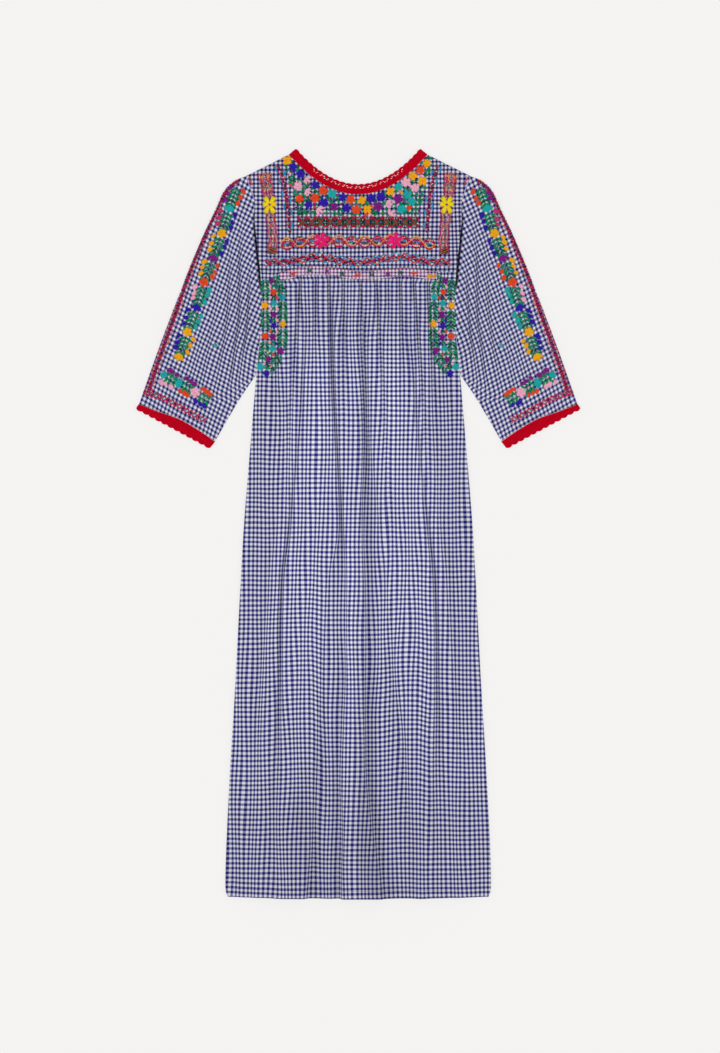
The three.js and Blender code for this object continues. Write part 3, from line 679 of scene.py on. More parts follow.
def spline(points, steps=40):  # a smooth line through the points, read by a share of its length
    points = np.asarray(points, float)
    ends = np.concatenate([points[:1], points, points[-1:]])
    line = []
    for before, start, end, after in zip(ends, ends[1:], ends[2:], ends[3:]):
        t = np.linspace(0, 1, steps, endpoint=False)[:, None]
        into, away = (end - before) / 2, (after - start) / 2
        line.append((2 * t**3 - 3 * t**2 + 1) * start + (t**3 - 2 * t**2 + t) * into
                    + (3 * t**2 - 2 * t**3) * end + (t**3 - t**2) * away)
    line = np.concatenate(line + [points[-1:]])
    lengths = np.concatenate([[0], np.cumsum(np.linalg.norm(np.diff(line, axis=0), axis=1))])

    def at(share):
        wanted = np.asarray(share, float) * lengths[-1]
        return np.stack([np.interp(wanted, lengths, line[:, axis]) for axis in (0, 1)], -1)
    at.length = lengths[-1]
    return at


def armhole(share):
    y = mix(seams["shoulderArm"][1], seams["underarm"], np.asarray(share, float))
    return np.stack([-bodyHalf(y) - seams["gap"], y], -1)


def patch(edges, u, v):  # a point between four edges, u across the tube and v along it
    u, v = np.asarray(u, float)[..., None], np.asarray(v, float)[..., None]
    ruled = mix(edges["top"](u[..., 0]), edges["bottom"](u[..., 0]), v)
    sides = mix(edges["outer"](v[..., 0]), edges["under"](v[..., 0]), u)
    upper = mix(edges["outer"](0), edges["under"](0), u)
    lower = mix(edges["outer"](1), edges["under"](1), u)
    return ruled + sides - mix(upper, lower, v)


def flatTube(edges, columns, rings, wall, foldSteps, frontRise, crowd=1.0):
    foldRadius = (wall + seams["gap"]) / 2
    outline = foldRadius + wall / 2
    points = []
    for v in np.linspace(0, 1, rings + 1) ** crowd:
        width = np.linalg.norm(edges["outer"](v) - edges["under"](v))
        inset = outline / width
        u = mix(inset, 1 - inset, np.linspace(0, 1, columns + 1))
        vs = np.full_like(u, v)
        layer = patch(edges, u, vs)
        front = np.column_stack([layer, outline + foldRadius + frontRise(u, vs, layer)])
        back = np.column_stack([layer, np.full(len(u), outline - foldRadius)])[::-1]
        folds = []
        for rim, centre in ((1, 1 - inset), (0, inset)):
            middle, end = patch(edges, np.array([centre, rim]), np.array([v, v]))
            outward = (end - middle) / np.linalg.norm(end - middle)
            turn = np.pi * np.arange(1, foldSteps) / foldSteps
            lift = np.cos(turn) if rim else -np.cos(turn)
            side = middle + np.outer(np.sin(turn), outward) * foldRadius
            folds.append(np.column_stack([side, outline + lift * foldRadius]))
        points.append(np.concatenate([front, folds[0], back, folds[1]]))
    return np.concatenate(points), 2 * (columns + foldSteps)


# the deep crease by the armhole: its width down the sleeve, and the painted shade laid in it and where that
# fades
armSlot = {
    "y": [370, 388, 412, 450, 482, 506], "width": [0.4, 5.2, 6.0, 5.0, 3.8, 0.4], "shade": 0.88,
    "lowerFade": 14, "upperFrom": 478, "upperFade": 28,
}


def armSlotOff(x, y):  # how far past the deep crease by the armhole's edge, left sleeve
    return -x - bodyHalf(y) - np.interp(y, armSlot["y"], armSlot["width"])


def foldLine(line, depths, y):  # where a trough runs at this height, and how deep it is there
    ys = [-point[1] for point in line]
    return np.interp(-y, ys, [point[0] for point in line]), np.interp(-y, ys, depths, 0, 0)


def sleeveRise(u, v, place):
    s = sleeveForm
    fromEnd = smoothStep(np.minimum(v, 1 - v) / s["endFade"])
    fromEdge = smoothStep(np.minimum(u, 1 - u) / s["edgeFade"])
    fromSlot = smoothStep(armSlotOff(place[..., 0], place[..., 1]) / s["slotFade"])
    nearArm = 1 - smoothStep((v - s["rollFrom"]) / s["rollFade"])
    byArmhole = bump(u - s["rollAt"], s["rollHalf"]) ** 0.6 * fromSlot * nearArm
    rise = s["puff"] * fromEdge * fromEnd + s["armRoll"] * byArmhole
    for line, depths, half in sleeveFolds:
        middle, depth = foldLine(line, depths, place[..., 1])
        off = place[..., 0] - middle
        rise = rise - depth * (1.9 * bump(off, half * 0.85) - 0.6 * bump(off, half * 2.2)) * fromEdge
    inside = smoothStep(np.minimum(u, 1 - u) / s["creaseFade"])
    rise = rise + clothCreases(u * 190, v * 300) * fromEnd * inside
    return np.maximum(rise, 0)


sleeveLines = {
    "top": armhole, "bottom": spline(sleeveEdges["cuff"]),
    "outer": spline(sleeveEdges["outer"]), "under": spline(sleeveEdges["under"]),
}
sleeveGrain = [(-19, 6.8, 1), (-120, 7.1, -0.35)]  # both yarns' way in degrees, check pitch, folds taken in


def makeSleeve(name, side):
    points, around = flatTube(sleeveLines, sleeveForm["columns"], sleeveForm["rings"], walls["cad"],
                              sleeveForm["foldSteps"], sleeveRise, sleeveForm["crowd"])
    takenIn = 0.6 * grainDrift(points[:, 0], points[:, 1])
    for line, depths, half in sleeveFolds:
        middle, depth = foldLine(line, depths, points[:, 1])
        takenIn = takenIn + depth * 1.9 * smoothStep((points[:, 0] - middle) / (2.4 * half) + 0.5)
    grain = []
    for degrees, pitch, share in sleeveGrain:
        way = math.radians(degrees)
        across = points[:, 0] * math.cos(way) + points[:, 1] * math.sin(way)
        grain.append((across + share * takenIn) * checks["sleeve"] / pitch)
    height = points[:, 1]
    # painted shade deep in the armhole crease, laid on the sleeve as its tone
    deep = 1 - smoothStep((armSlotOff(points[:, 0], height) + 0.6) / 1.8)
    started = smoothStep((height - armSlot["y"][0]) / armSlot["lowerFade"])
    deep = deep * started * (1 - smoothStep((height - armSlot["upperFrom"]) / armSlot["upperFade"]))
    points[:, 0] *= side
    faces = gridFaces(around, sleeveForm["rings"], closed=True)
    if side < 0:
        faces = [face[::-1] for face in faces]
    piece = meshPiece(name, points, faces, sleeveGingham, np.stack(grain, 1))
    layTone(piece, 1 - armSlot["shade"] * deep)
    return piece


sleeveLeft, sleeveRight = makeSleeve("sleeveLeft", 1), makeSleeve("sleeveRight", -1)
print("sleeves laid")

for sheetPiece in (skirtFront, skirtBack, yokeFront, yokeBack, sleeveLeft, sleeveRight):
    thicken(sheetPiece, walls["cloth"])

# Thread: one stitch is modelled, and each colour's stitches are laid on the cloth from it

threadShades = {
    "orangeRed": (232, 74, 32), "golden": (245, 172, 14), "lemon": (244, 218, 12), "hotPink": (236, 24, 116),
    "pink": (246, 176, 202), "rose": (190, 58, 112), "purple": (128, 26, 132), "royal": (48, 24, 168),
    "turquoise": (26, 172, 172), "leafGreen": (2, 136, 84), "darkGreen": (2, 92, 60), "sky": (50, 155, 208),
    "crimson": (196, 10, 60), "magenta": (190, 26, 92), "black": (22, 20, 34), "white": (236, 234, 228),
    "navy": (30, 30, 100),
}
stitchShape = {
    "along": 4, "across": 3, "crown": 0.62, "swell": 1.6, "waist": 0.86, "shoulders": 0.55, "tip": 0.3,
    "sink": 0.25,
}
stitches = {colour: [] for colour in threadShades}
drapes = {}


def pick(piece, test):  # selects the vertices that the test takes, in edit mode
    shape = bmesh.from_edit_mesh(piece.data)
    for vertex in shape.verts:
        vertex.select = test(vertex.co)
    shape.select_flush(True)
    bmesh.update_edit_mesh(piece.data)


def modelStitch(s):
    bpy.ops.object.select_all(action="DESELECT")
    bpy.ops.mesh.primitive_grid_add(x_subdivisions=s["along"], y_subdivisions=s["across"], size=1)
    piece = bpy.context.object
    piece.name = "stitch"
    bpy.ops.object.mode_set(mode="EDIT")
    pick(piece, lambda co: abs(co.y) < 0.3)
    bpy.ops.transform.translate(value=(0, 0, s["crown"]))
    bpy.ops.transform.resize(value=(1, s["swell"], 1))
    pick(piece, lambda co: abs(co.x) > 0.2)
    bpy.ops.transform.resize(value=(1, s["waist"], 1))
    pick(piece, lambda co: abs(co.x) > 0.45)
    bpy.ops.transform.resize(value=(1, s["tip"], 1))
    pick(piece, lambda co: abs(co.x) > 0.45 and co.z > 0.1)
    bpy.ops.transform.translate(value=(0, 0, -s["shoulders"]))
    bpy.ops.object.mode_set(mode="OBJECT")
    return piece


def readStitch(piece):
    points = np.array([vertex.co for vertex in piece.data.vertices])
    faces = np.array([list(polygon.vertices) for polygon in piece.data.polygons])
    uvs = np.stack([points[:, 1] + 0.5, points[:, 0] + 0.5], 1)
    points[:, 0] += 0.5
    bpy.data.objects.remove(piece)
    return points, faces, uvs


stitchTemplate = readStitch(modelStitch(stitchShape))


def drapeOf(piece):
    return BVHTree.FromObject(piece, bpy.context.evaluated_depsgraph_get())


def heightOn(cloth, x, y):
    hit = drapes[cloth].ray_cast(Vector((x, y, 60)) * unit, Vector((0, 0, -1)))[0]
    return None if hit is None else hit.z / unit


def sew(ground, colour, start, end, width, lift):
    cloth, side = ground
    ends = [(side * place[0], place[1]) for place in (start, end)]
    heights = [heightOn(cloth, *mix(np.array(ends[0]), np.array(ends[1]), share)) for share in (0, 0.5, 1)]
    if heights[1] is None:
        return
    low, high = (heights[1] if height is None else height for height in (heights[0], heights[2]))
    stitches[colour].append((*ends[0], low, *ends[1], high, heights[1], width, lift))


def laidStitches(rows):
    template, faces, uvs = stitchTemplate
    rows = np.array(rows)
    start, end = rows[:, 0:2], rows[:, 3:5]
    way = (end - start) / np.maximum(1e-6, np.linalg.norm(end - start, axis=1))[:, None]
    across = np.stack([-way[:, 1], way[:, 0]], 1)
    t = template[:, 0][None, :]
    width = rows[:, 7][:, None]
    place = start[:, None] + (end - start)[:, None] * t[..., None]
    place = place + across[:, None] * (template[:, 1][None, :] * width)[..., None]
    low, high, middle = rows[:, 2][:, None], rows[:, 5][:, None], rows[:, 6][:, None]
    z = low * (1 - t) * (1 - 2 * t) + 4 * middle * t * (1 - t) + high * t * (2 * t - 1)
    z = z + rows[:, 8][:, None] + template[:, 2][None, :] * width - stitchShape["sink"] * width * 0.5
    points = np.concatenate([place, z[..., None]], 2).reshape(-1, 3)
    count = len(template)
    allFaces = (faces[None] + (np.arange(len(rows)) * count)[:, None, None]).reshape(-1, faces.shape[1])
    return points, allFaces.tolist(), np.tile(uvs, (len(rows), 1))


def turned(place, angle, along, across=0.0):
    c, s = math.cos(angle), math.sin(angle)
    return place[0] + along * c - across * s, place[1] + along * s + across * c


def petal(ground, colour, place, angle, length, breadth, strands, lift, root=0.3, blunt=0.16):
    for strand in range(strands):
        t = (strand + 0.5) / strands * 2 - 1
        start = turned(place, angle, length * 0.06, t * breadth * root * 0.4)
        end = turned(place, angle, length * (1 - blunt * t * t), t * breadth * 0.4)
        sew(ground, colour, start, end, breadth / strands * 1.15, lift)


def star(ground, colour, place, reach, angles, width, lift):  # stitches that cross in one point
    for angle in angles:
        sew(ground, colour, turned(place, angle, -reach), turned(place, angle, reach), width, lift)


def blossom(ground, colour, place, size, turn, petals=5, fill=0.78):
    length = size / 2
    for number in range(petals):
        angle = turn + math.tau * number / petals
        breadth = math.tau * length * fill / petals
        petal(ground, colour, place, angle, length, breadth, 4, 0.3 + 0.12 * (number % 2))
    star(ground, colour, place, size * 0.09, (0.4, 1.5, 2.5), 1.2, 0.6)


def tulip(ground, colour, place, size, turn):  # three petals that open one way from a green cup
    base = turned(place, turn, -size * 0.38)
    for lean in (-0.62, 0.62, 0):
        length, lift = (0.82, 0.3) if lean else (0.9, 0.5)
        petal(ground, colour, base, turn + lean, size * length, size * 0.36, 4, lift)
    for lean in (-0.9, 0.9):
        leaf(ground, "leafGreen", base, turn + lean, size * 0.34, 0.5)


def leaf(ground, colour, place, angle, length, lift=0.2, breadth=0.13):
    for t in (-1, 1, 0):
        start = turned(place, angle, length * 0.12 * abs(t), t * length * breadth * 0.77)
        end = turned(place, angle, length * (1 - 0.14 * abs(t)), t * length * breadth)
        sew(ground, colour, start, end, length * 0.19, lift)


def bud(ground, colour, place, size, turn):
    petal(ground, colour, turned(place, turn, -size / 2), turn, size, size * 0.78, 5, 0.35, 0.7, 0.3)


def alongPath(path, distance, offset=0.0):
    share = min(1, max(0, distance / path.length))
    ahead, behind = path(min(1, share + 0.002)), path(max(0, share - 0.002))
    way = (ahead - behind) / np.linalg.norm(ahead - behind)
    return path(share) + offset * np.array([-way[1], way[0]])


def sewAlong(ground, colour, path, start, end, width, lift=0.0):  # ends are a distance and an offset
    sew(ground, colour, alongPath(path, *start), alongPath(path, *end), width, lift)


def wayAngle(path, distance):
    near, far = alongPath(path, distance - 1), alongPath(path, distance + 1)
    return math.atan2(far[1] - near[1], far[0] - near[0])


def trail(ground, colour, path, offsetAt, step, width, lift, span=None):  # end to end along a path
    start, end = span or (0, path.length)
    count = max(1, round((end - start) / step))
    places = [alongPath(path, d, offsetAt(d)) for d in np.linspace(start, end, count + 1)]
    for before, after in zip(places, places[1:]):
        sew(ground, colour, before, after, width, lift)


def zigzag(pitch, height, phase=0.0, middle=0.0, flat=1.0):  # flat above one cuts the points off
    def offset(d):
        rise = flat * (4 * abs((d / pitch + phase) % 1 - 0.5) - 1)
        return middle + height * min(1, max(-1, rise))
    return offset


def ripple(pitch, height, phase, middle=0.0):
    return lambda d: middle + height * math.sin(math.tau * (d / pitch + phase))


def diamond(ground, colours, path, distance, offset, length, height, strands, lift):
    for strand in range(strands):
        t = (strand + 0.5) / strands * 2 - 1
        reach = height * (1 - abs(t)) + 0.4
        place = distance + t * length / 2
        colour = colours[strand % len(colours)]
        width = length / strands * 1.05
        sewAlong(ground, colour, path, (place, offset - reach), (place, offset + reach), width, lift)


def garland(ground, path, pitch, leafLength, colours, span, lean=0.8, breadth=0.09):
    start, end = span
    trail(ground, colours[0], path, lambda d: 0, 4, 0.7, 0.05, (start, end))
    for number, distance in enumerate(np.arange(start + 1, end - leafLength * 0.5, pitch)):
        colour = colours[number % len(colours)]
        for side in (-1, 1):
            turn = wayAngle(path, distance) + side * lean
            leaf(ground, colour, turned(alongPath(path, distance), turn, 0.8), turn, leafLength, 0.2, breadth)


stitchDraw = random.Random(12)

yokeGround, skirtGround = ("yoke", 1), ("skirt", 1)
drapes.update(yoke=drapeOf(yokeFront), skirt=drapeOf(skirtFront), sleeveLeft=drapeOf(sleeveLeft),
              sleeveRight=drapeOf(sleeveRight))

flowerField = {  # rows that follow the neckline: distance from its seam, first place, step, colours in turn
    "rows": [
        (-9, 5, 14.6, "golden royal royal pink royal orangeRed turquoise royal orangeRed golden royal royal "
                      "golden turquoise pink golden orangeRed"),
        (-25.5, 16, 14.2, "golden golden pink pink orangeRed royal purple royal orangeRed golden purple pink "
                          "purple turquoise pink golden orangeRed"),
        (-41, 40, 14.5, "pink orangeRed royal pink orangeRed pink golden royal golden pink turquoise "
                        "turquoise purple orangeRed"),
    ],
    "bottom": 500, "limit": ([493, 534, 570, 600], [97, 106, 116, 122]), "size": (14, 17.5), "leaves": 300,
    "nudge": 1.3, "apart": 11.6, "leafApart": 3.7, "leafLength": (6.8, 8.6), "leafShare": 0.7,
    "brightShare": 0.18, "bright": ["orangeRed", "royal", "golden", "pink", "purple"],
    "across": (-118, 118), "height": (494, 596),
}


def inField(place, margin=0.0):
    x, y = abs(place[0]), place[1]
    side = np.interp(y, *flowerField["limit"]) - margin
    shoulder = seams["shoulderNeck"][1] - (x - seams["shoulderNeck"][0]) * 0.5 - 3 - margin
    return y > flowerField["bottom"] + margin * 0.6 - 6 and x < side and y < shoulder


def layFlowerField(s):
    neckPath = spline([neckSeam(share) for share in np.linspace(0, 1, 15)])
    heads = []
    for offset, first, step, colours in s["rows"]:
        colours = colours.split()
        for number, distance in enumerate(np.arange(first, neckPath.length - first * 0.5, step)):
            nudge = [stitchDraw.uniform(-s["nudge"], s["nudge"]) for _ in range(2)]
            place = alongPath(neckPath, distance + nudge[0], offset + nudge[1])
            size = stitchDraw.uniform(*s["size"])
            near = min((math.dist(place, other) for other, _ in heads), default=99)
            if inField(place, 4) and near > s["apart"]:
                heads.append((place, size))
                colour = colours[number % len(colours)]
                turn = stitchDraw.uniform(0, math.tau)
                if colour == "pink" and number % 2:
                    tulip(yokeGround, colour, place, size, turn)
                else:
                    blossom(yokeGround, colour, place, size, turn, 5 if number % 3 else 4)
    leaves = []
    neckDown = seams["neckTop"] - neckline["depth"] - neckline["edging"] - 4
    for _ in range(s["leaves"] * 12):
        place = (stitchDraw.uniform(*s["across"]), stitchDraw.uniform(*s["height"]))
        rise = (seams["shoulderNeck"][1] - neckDown) * (place[0] / seams["shoulderNeck"][0]) ** 2
        clear = min(math.dist(place, head) - size * 0.5 for head, size in heads)
        apart = min((math.dist(place, other) for other in leaves), default=99)
        underNeck = place[1] < neckDown + rise - 2
        if inField(place) and underNeck and clear > 0 and apart > s["leafApart"]:
            leaves.append(place)
            angle = stitchDraw.uniform(0, math.tau)
            colour = "leafGreen" if stitchDraw.random() < s["leafShare"] else "darkGreen"
            if stitchDraw.random() < s["brightShare"]:
                colour = stitchDraw.choice(s["bright"])
            leaf(yokeGround, colour, turned(place, angle, -3.6), angle, stitchDraw.uniform(*s["leafLength"]))


layFlowerField(flowerField)

latticeBand = {
    "line": [(-97, 482), (0, 482.5), (97, 482)], "pitch": 30, "height": 8.4,
    "ground": ("black", "darkGreen", "black", "darkGreen"), "groundStep": 1.7, "groundHalf": (0.4, 7.4),
    "marks": ("magenta", "orangeRed", "white", "rose"), "edge": 8.6,
}


def layLatticeBand(s):
    path, ground = spline(s["line"]), yokeGround
    cells = round(2 * path.length / s["pitch"])
    pitch = 2 * path.length / cells
    inner, outer = s["groundHalf"]
    for number, distance in enumerate(np.arange(1, path.length, s["groundStep"])):  # dark, under the crosses
        within = abs((distance / pitch * 2) % 1 - 0.5) * 2
        colour = "darkGreen" if within < 0.4 else s["ground"][number % 4]
        for low, high in ((-outer, -inner), (inner, outer)):
            if stitchDraw.random() < 0.95:
                start = (distance, low * stitchDraw.uniform(0.9, 1.0))
                end = (distance + 0.6, high * stitchDraw.uniform(0.9, 1.0))
                sewAlong(ground, colour, path, start, end, 2.4)
    for cell in range(cells):
        middle = (cell + 0.5) * pitch / 2
        diamond(ground, ["leafGreen", "darkGreen", "leafGreen"], path, middle, 0, 9, 3.2, 6, 0.3)
        for side in (-1, 1):
            colour = "white" if (cell + side) % 3 else "darkGreen"
            for lean in (-2.6, 2.6):
                sewAlong(ground, colour, path, (middle, side * 3.8), (middle + lean, side * 7.2), 1.1, 0.6)
            mark = s["marks"][cell % 4]
            sewAlong(ground, mark, path, (middle + 6.8, side * 2.6), (middle + 7.6, side * 5.4), 1.5, 0.5)
    for phase in (0, 0.5):
        trail(ground, "crimson", path, zigzag(pitch, s["height"] - 0.6, phase, 0, 1.25), pitch / 8, 2.3, 0.75)
    for side in (-1, 1):
        trail(ground, "magenta", path, ripple(pitch / 2, 0.8, 0.2, side * s["edge"]), 3.2, 1.5, 0.5)
    for end in (1.5, path.length - 1.5):
        for side in (-1, 1):
            sewAlong(ground, "crimson", path, (end, side * 8), (end, side * 1), 1.6, 0.6)
        sewAlong(ground, "white", path, (end - 1.5, -2), (end + 1.5, -2), 2.6, 1.0)


layLatticeBand(latticeBand)

loopBand = {
    "line": [(-124, 446), (-100, 449.5), (-58, 453), (0, 451), (58, 453), (100, 449.5), (124, 446)],
    "pitch": 41, "flowers": [-58.5, 58.5], "petal": (13.5, 9.8),
    "ground": ("navy", "magenta", "white", "black", "rose", "sky", "navy", "white"),
    "filling": [("white", -5.4, 1.7), ("navy", -3.4, 1.3), ("darkGreen", -1.8, 1.4), ("sky", 0.6, 1.9),
                ("rose", 2.6, 1.4), ("black", 4.2, 1.2), ("white", 5.8, 1.5)],  # colour, offset, reach
    "threads": [  # colour, phase, height, shift, width
        ("golden", 0, 8.2, 1.6, 2.1), ("orangeRed", 0, 7.0, -0.2, 2.0), ("magenta", 0, 6.4, -2.6, 1.9),
        ("rose", 0.5, 6.6, 1.8, 1.5), ("crimson", 0.5, 8.2, -0.8, 2.2), ("magenta", 0.5, 7.2, -2.8, 2.0),
        ("orangeRed", 0.5, 5.0, 1.2, 1.5),
    ],
    "caps": [("leafGreen", 9.6), ("black", -9.4)], "capHalf": 6.4, "capBend": 0.035,
}


def fillLoop(path, middle, cell, s):
    for number, (colour, offset, reach) in enumerate(s["filling"]):
        for shift in np.arange(-9.6, 9.7, 1.75):
            room = 1 - (abs(shift) / 10.4) ** 2
            if abs(offset) > 8.4 * room or stitchDraw.random() < 0.1:
                continue
            lean = stitchDraw.uniform(-1.3, 1.3)
            at = middle + shift + stitchDraw.uniform(-0.6, 0.6)
            if colour == "sky" and abs(shift) >= 4.4:
                thread = ("royal", "magenta", "white")[(number + cell) % 3]
            else:
                thread = colour
            start, end = (at - lean, offset - reach), (at + lean, offset + reach)
            sewAlong(yokeGround, thread, path, start, end, 1.7, 0.05)


def capLoops(path, pitch, s):  # short caps over the crowns and under the hollows
    for colour, edge in s["caps"]:
        bend = math.copysign(s["capBend"], edge)
        for crown in np.arange(0.75, path.length / pitch, 1) * pitch + (pitch / 2 if edge < 0 else 0):
            if 6 < crown < path.length - 6:
                span = (crown - s["capHalf"], crown + s["capHalf"])
                trail(yokeGround, colour, path, lambda d: edge - bend * (d - crown) ** 2, 3.2, 1.2, 0.2, span)


def layLoopBand(s):
    path = spline(s["line"])
    cells = round(2 * path.length / s["pitch"])
    pitch = 2 * path.length / cells
    for number, distance in enumerate(np.arange(1, path.length - 1, 1.9)):
        reach = 4.0 + 3.0 * abs(math.sin(math.tau * distance / pitch))
        for low, high in ((-reach, -0.3), (0.3, reach)):
            colour = s["ground"][(number * 3 + (low < -1)) % 8]
            sewAlong(yokeGround, colour, path, (distance - 0.5, low), (distance + 0.7, high), 1.8)
    for cell in range(cells):
        fillLoop(path, (cell + 0.5) * pitch / 2, cell, s)
    capLoops(path, pitch, s)
    for colour, phase, height, shift, width in s["threads"]:
        trail(yokeGround, colour, path, ripple(pitch, height, phase, shift), 3.2, width, 0.5)
    for x in s["flowers"]:
        place = alongPath(path, path.length / 2 + x * 1.004)
        for number in range(6):
            angle = math.tau * (number + 0.3) / 6
            petal(yokeGround, "hotPink", place, angle, *s["petal"], 6, 1.0, 0.25, 0.06)
        blossom(yokeGround, "rose", place, 5, 0.3, 5)


layLoopBand(loopBand)

waveBand = {
    "line": [(-149, 418.5), (-110, 419.5), (-70, 427), (-35, 422), (0, 418),
             (35, 422), (70, 427), (110, 419.5), (149, 418.5)],
    "pitch": 29, "core": ("black", "magenta", "sky", "navy", "black"), "stars": (-62, 62),
    "threads": [  # colour, height, phase, cut, width, lift
        ("crimson", 2.4, 0, 1.0, 1.5, 0.4), ("orangeRed", 6.7, 0.5, 1.3, 1.9, 0.65),
        ("magenta", 4.7, 0, 1.3, 1.6, 0.5),
    ],
}


def layWaveBand(s):
    path, ground = spline(s["line"]), yokeGround
    pitch = path.length / round(path.length / s["pitch"])
    for number, distance in enumerate(np.arange(1, path.length - 1, 1.6)):  # sky rows, a dark core between
        for side in (-1, 1):
            reach = 3.4 + 2.0 * math.sin(math.tau * (distance / pitch * 2 + 0.25)) * side
            if stitchDraw.random() < 0.82:
                sewAlong(ground, "sky" if number % 7 else "white", path, (distance - 1, side * (reach + 1.2)),
                         (distance + 1.2, side * (reach + 2.6)), 1.9, 0.1)
            sewAlong(ground, s["core"][(number // 2 + side) % 5], path, (distance - 0.6, side * 0.2),
                     (distance + 0.6, side * reach), 1.8, 0.05)
    for cell in range(round(2 * path.length / pitch)):
        at = (cell + 0.5) * pitch / 2 - pitch / 4
        side = -1 if cell % 2 else 1
        sewAlong(ground, "white", path, (at - 2.2, side * -2.0), (at + 1.4, side * -3.8), 1.6, 0.5)
    for colour, height, phase, cut, width, lift in s["threads"]:
        trail(ground, colour, path, zigzag(pitch, height, phase, 0, cut), pitch / 8, width, lift)
    for x in s["stars"]:
        star(ground, "white", alongPath(path, path.length / 2 + x, 3.4), 2.6, (0.3, 1.3, 2.4), 1.9, 0.8)


layWaveBand(waveBand)

braidBand = {
    "line": [(-150, 562), (-146, 537), (-141.5, 507.5), (-139.5, 481), (-136.5, 454.4), (-138, 432)],
    "pitch": 43, "height": 5.8, "flowerAt": 52, "petalBreadth": 9.8,
    "petals": ((58, 15), (122, 15), (4, 11.5), (176, 11.5), (-62, 15.5), (-118, 15.5)),  # degrees, length
    "head": ("golden", "orangeRed", "rose", "leafGreen", "golden", "magenta"), "headStep": 5.2,
    "edges": [("magenta", 0.9, 0.2, 7.6, 1.1, 0.4), ("pink", 0.8, 0.25, 4.4, 1.2, 0.1),
              ("rose", 0.8, 0.3, 6.2, 0.7, 0.3)],  # colour, height, phase, offset, width, lift
}
innerChain = {
    "line": [(-128, 574), (-119.5, 547), (-114.5, 521), (-112, 494), (-110, 466)], "pitch": 21, "height": 4.4,
    "ground": ["black", "navy", "magenta", "darkGreen", "crimson"],
    "blocks": (-3.4, -1.2, 1.2, 3.4), "lean": 1.8,
}


def layBraid(ground, s):
    path = spline(s["line"])
    pitch = path.length / round(path.length / s["pitch"])
    for at in np.arange(pitch / 4, path.length - 8, pitch / 2):
        diamond(ground, ["leafGreen", "pink", "rose"], path, at, 0, 7, 2.0, 5, 0.1)
        for side in (-1, 1):
            sewAlong(ground, "leafGreen", path, (at + 6, side * 6.4), (at + 13, side * 6.6), 1.1, 0.1)
    for number, colour in enumerate(("golden", "rose", "leafGreen", "magenta")):
        trail(ground, colour, path, ripple(pitch, s["height"] - 1.5, number / 4), 3.2, 1.0, 0.35)
    for number, colour in enumerate(("rose", "orangeRed")):
        trail(ground, colour, path, ripple(pitch, s["height"] + 0.3, number / 2 + 0.05), 3.2, 1.3, 0.3)
    for side in (-1, 1):
        for colour, height, phase, offset, width, lift in s["edges"]:
            trail(ground, colour, path, ripple(pitch / 2, height, phase, side * offset), 3.2, width, lift)
    for row, colour in enumerate(s["head"]):  # crossed rows fill the head of the braid
        at = 2 + row * s["headStep"]
        reach = 11 - 0.5 * row
        for side in (-1, 1):
            sewAlong(ground, colour, path, (at, side * reach), (at + 8, side * 0.6), 1.2, 0.25)
            sewAlong(ground, colour, path, (at + 8, side * (reach - 1)), (at, side * 0.4), 1.0, 0.4)
            sewAlong(ground, "rose", path, (at, side * reach), (at + 5.2, side * (reach - 0.6)), 1.1, 0.3)
    for number in range(9):  # the slanting foot of the braid
        at = path.length - 11 + number * 1.5
        colour = ("darkGreen", "orangeRed", "black")[number % 3]
        sewAlong(ground, colour, path, (at, -7.4), (at + 5, 7.4), 1.6, 0.5)
    place = alongPath(path, s["flowerAt"])
    for angle, length in s["petals"]:
        petal(ground, "lemon", place, math.radians(angle), length, s["petalBreadth"], 6, 1.1, 0.3, 0.06)
    star(ground, "purple", place, 2, (0.2, 1.2, 2.3), 1.7, 1.9)


def layInnerChain(ground, s):
    path = spline(s["line"])
    for at in np.arange(s["pitch"] / 4, path.length, s["pitch"] / 2):
        diamond(ground, ["black", "crimson", "royal"], path, at, 0, 6, 2, 4, 0.15)
        sewAlong(ground, "white", path, (at + 4, -1.6), (at + 6, 1.6), 1.4, 0.3)
    for at in np.arange(1, path.length - 1, 2.2):
        colour = stitchDraw.choice(s["ground"])
        start = (at, stitchDraw.uniform(-4, -0.5))
        sewAlong(ground, colour, path, start, (at + 1, stitchDraw.uniform(0.5, 4)), 2.1, 0.05)
    for phase, colour in ((0, "crimson"), (0.5, "magenta")):
        cross = zigzag(s["pitch"], s["height"] - 0.6, phase, 0, 1.2)
        trail(ground, colour, path, cross, s["pitch"] / 6, 1.1, 0.4)
    for number, at in enumerate(np.arange(5, path.length - 4, s["pitch"] / 2)):
        side = 1 if number % 2 else -1
        if number % 5 == 3:
            continue
        for shift in s["blocks"]:
            start, end = (at + shift - s["lean"], side * 4.2), (at + shift + s["lean"], side * 6.8)
            sewAlong(ground, "sky", path, start, end, 1.7, 0.45)


for side in (1, -1):
    layBraid(("yoke", side), braidBand)
    layInnerChain(("yoke", side), innerChain)
print("yoke sewn")

sleeveSprays = {  # outer buds, inner buds and head of each spray down the sleeve, then along the cuff
    "line": [(-194, 539), (-206, 506), (-215.5, 473), (-229, 433), (-246, 389), (-258, 348), (-270.5, 314.5),
             (-280, 284), (-289, 262)],
    "units": ["purple orangeRed turquoise", "rose royal golden", "golden royal purple",
              "golden orangeRed orangeRed", "pink turquoise royal", "royal turquoise golden",
              "royal golden golden"],
    "cuffLine": [(-311, 238), (-296, 229), (-275, 219), (-255, 206), (-230, 191.5)],
    "cuffUnits": ["pink purple turquoise", "orangeRed purple pink", "royal orangeRed"],
    "cuffHead": ("turquoise", 13), "loose": ("turquoise", (-228.5, 285), 7),
    "pitch": 6.2, "leaf": 10.4, "budAt": (0.1, 0.34, 0.58), "budOut": 12.2, "budSize": 10.6, "headSize": 17,
    "greens": ("leafGreen", "leafGreen", "leafGreen", "darkGreen"),
}


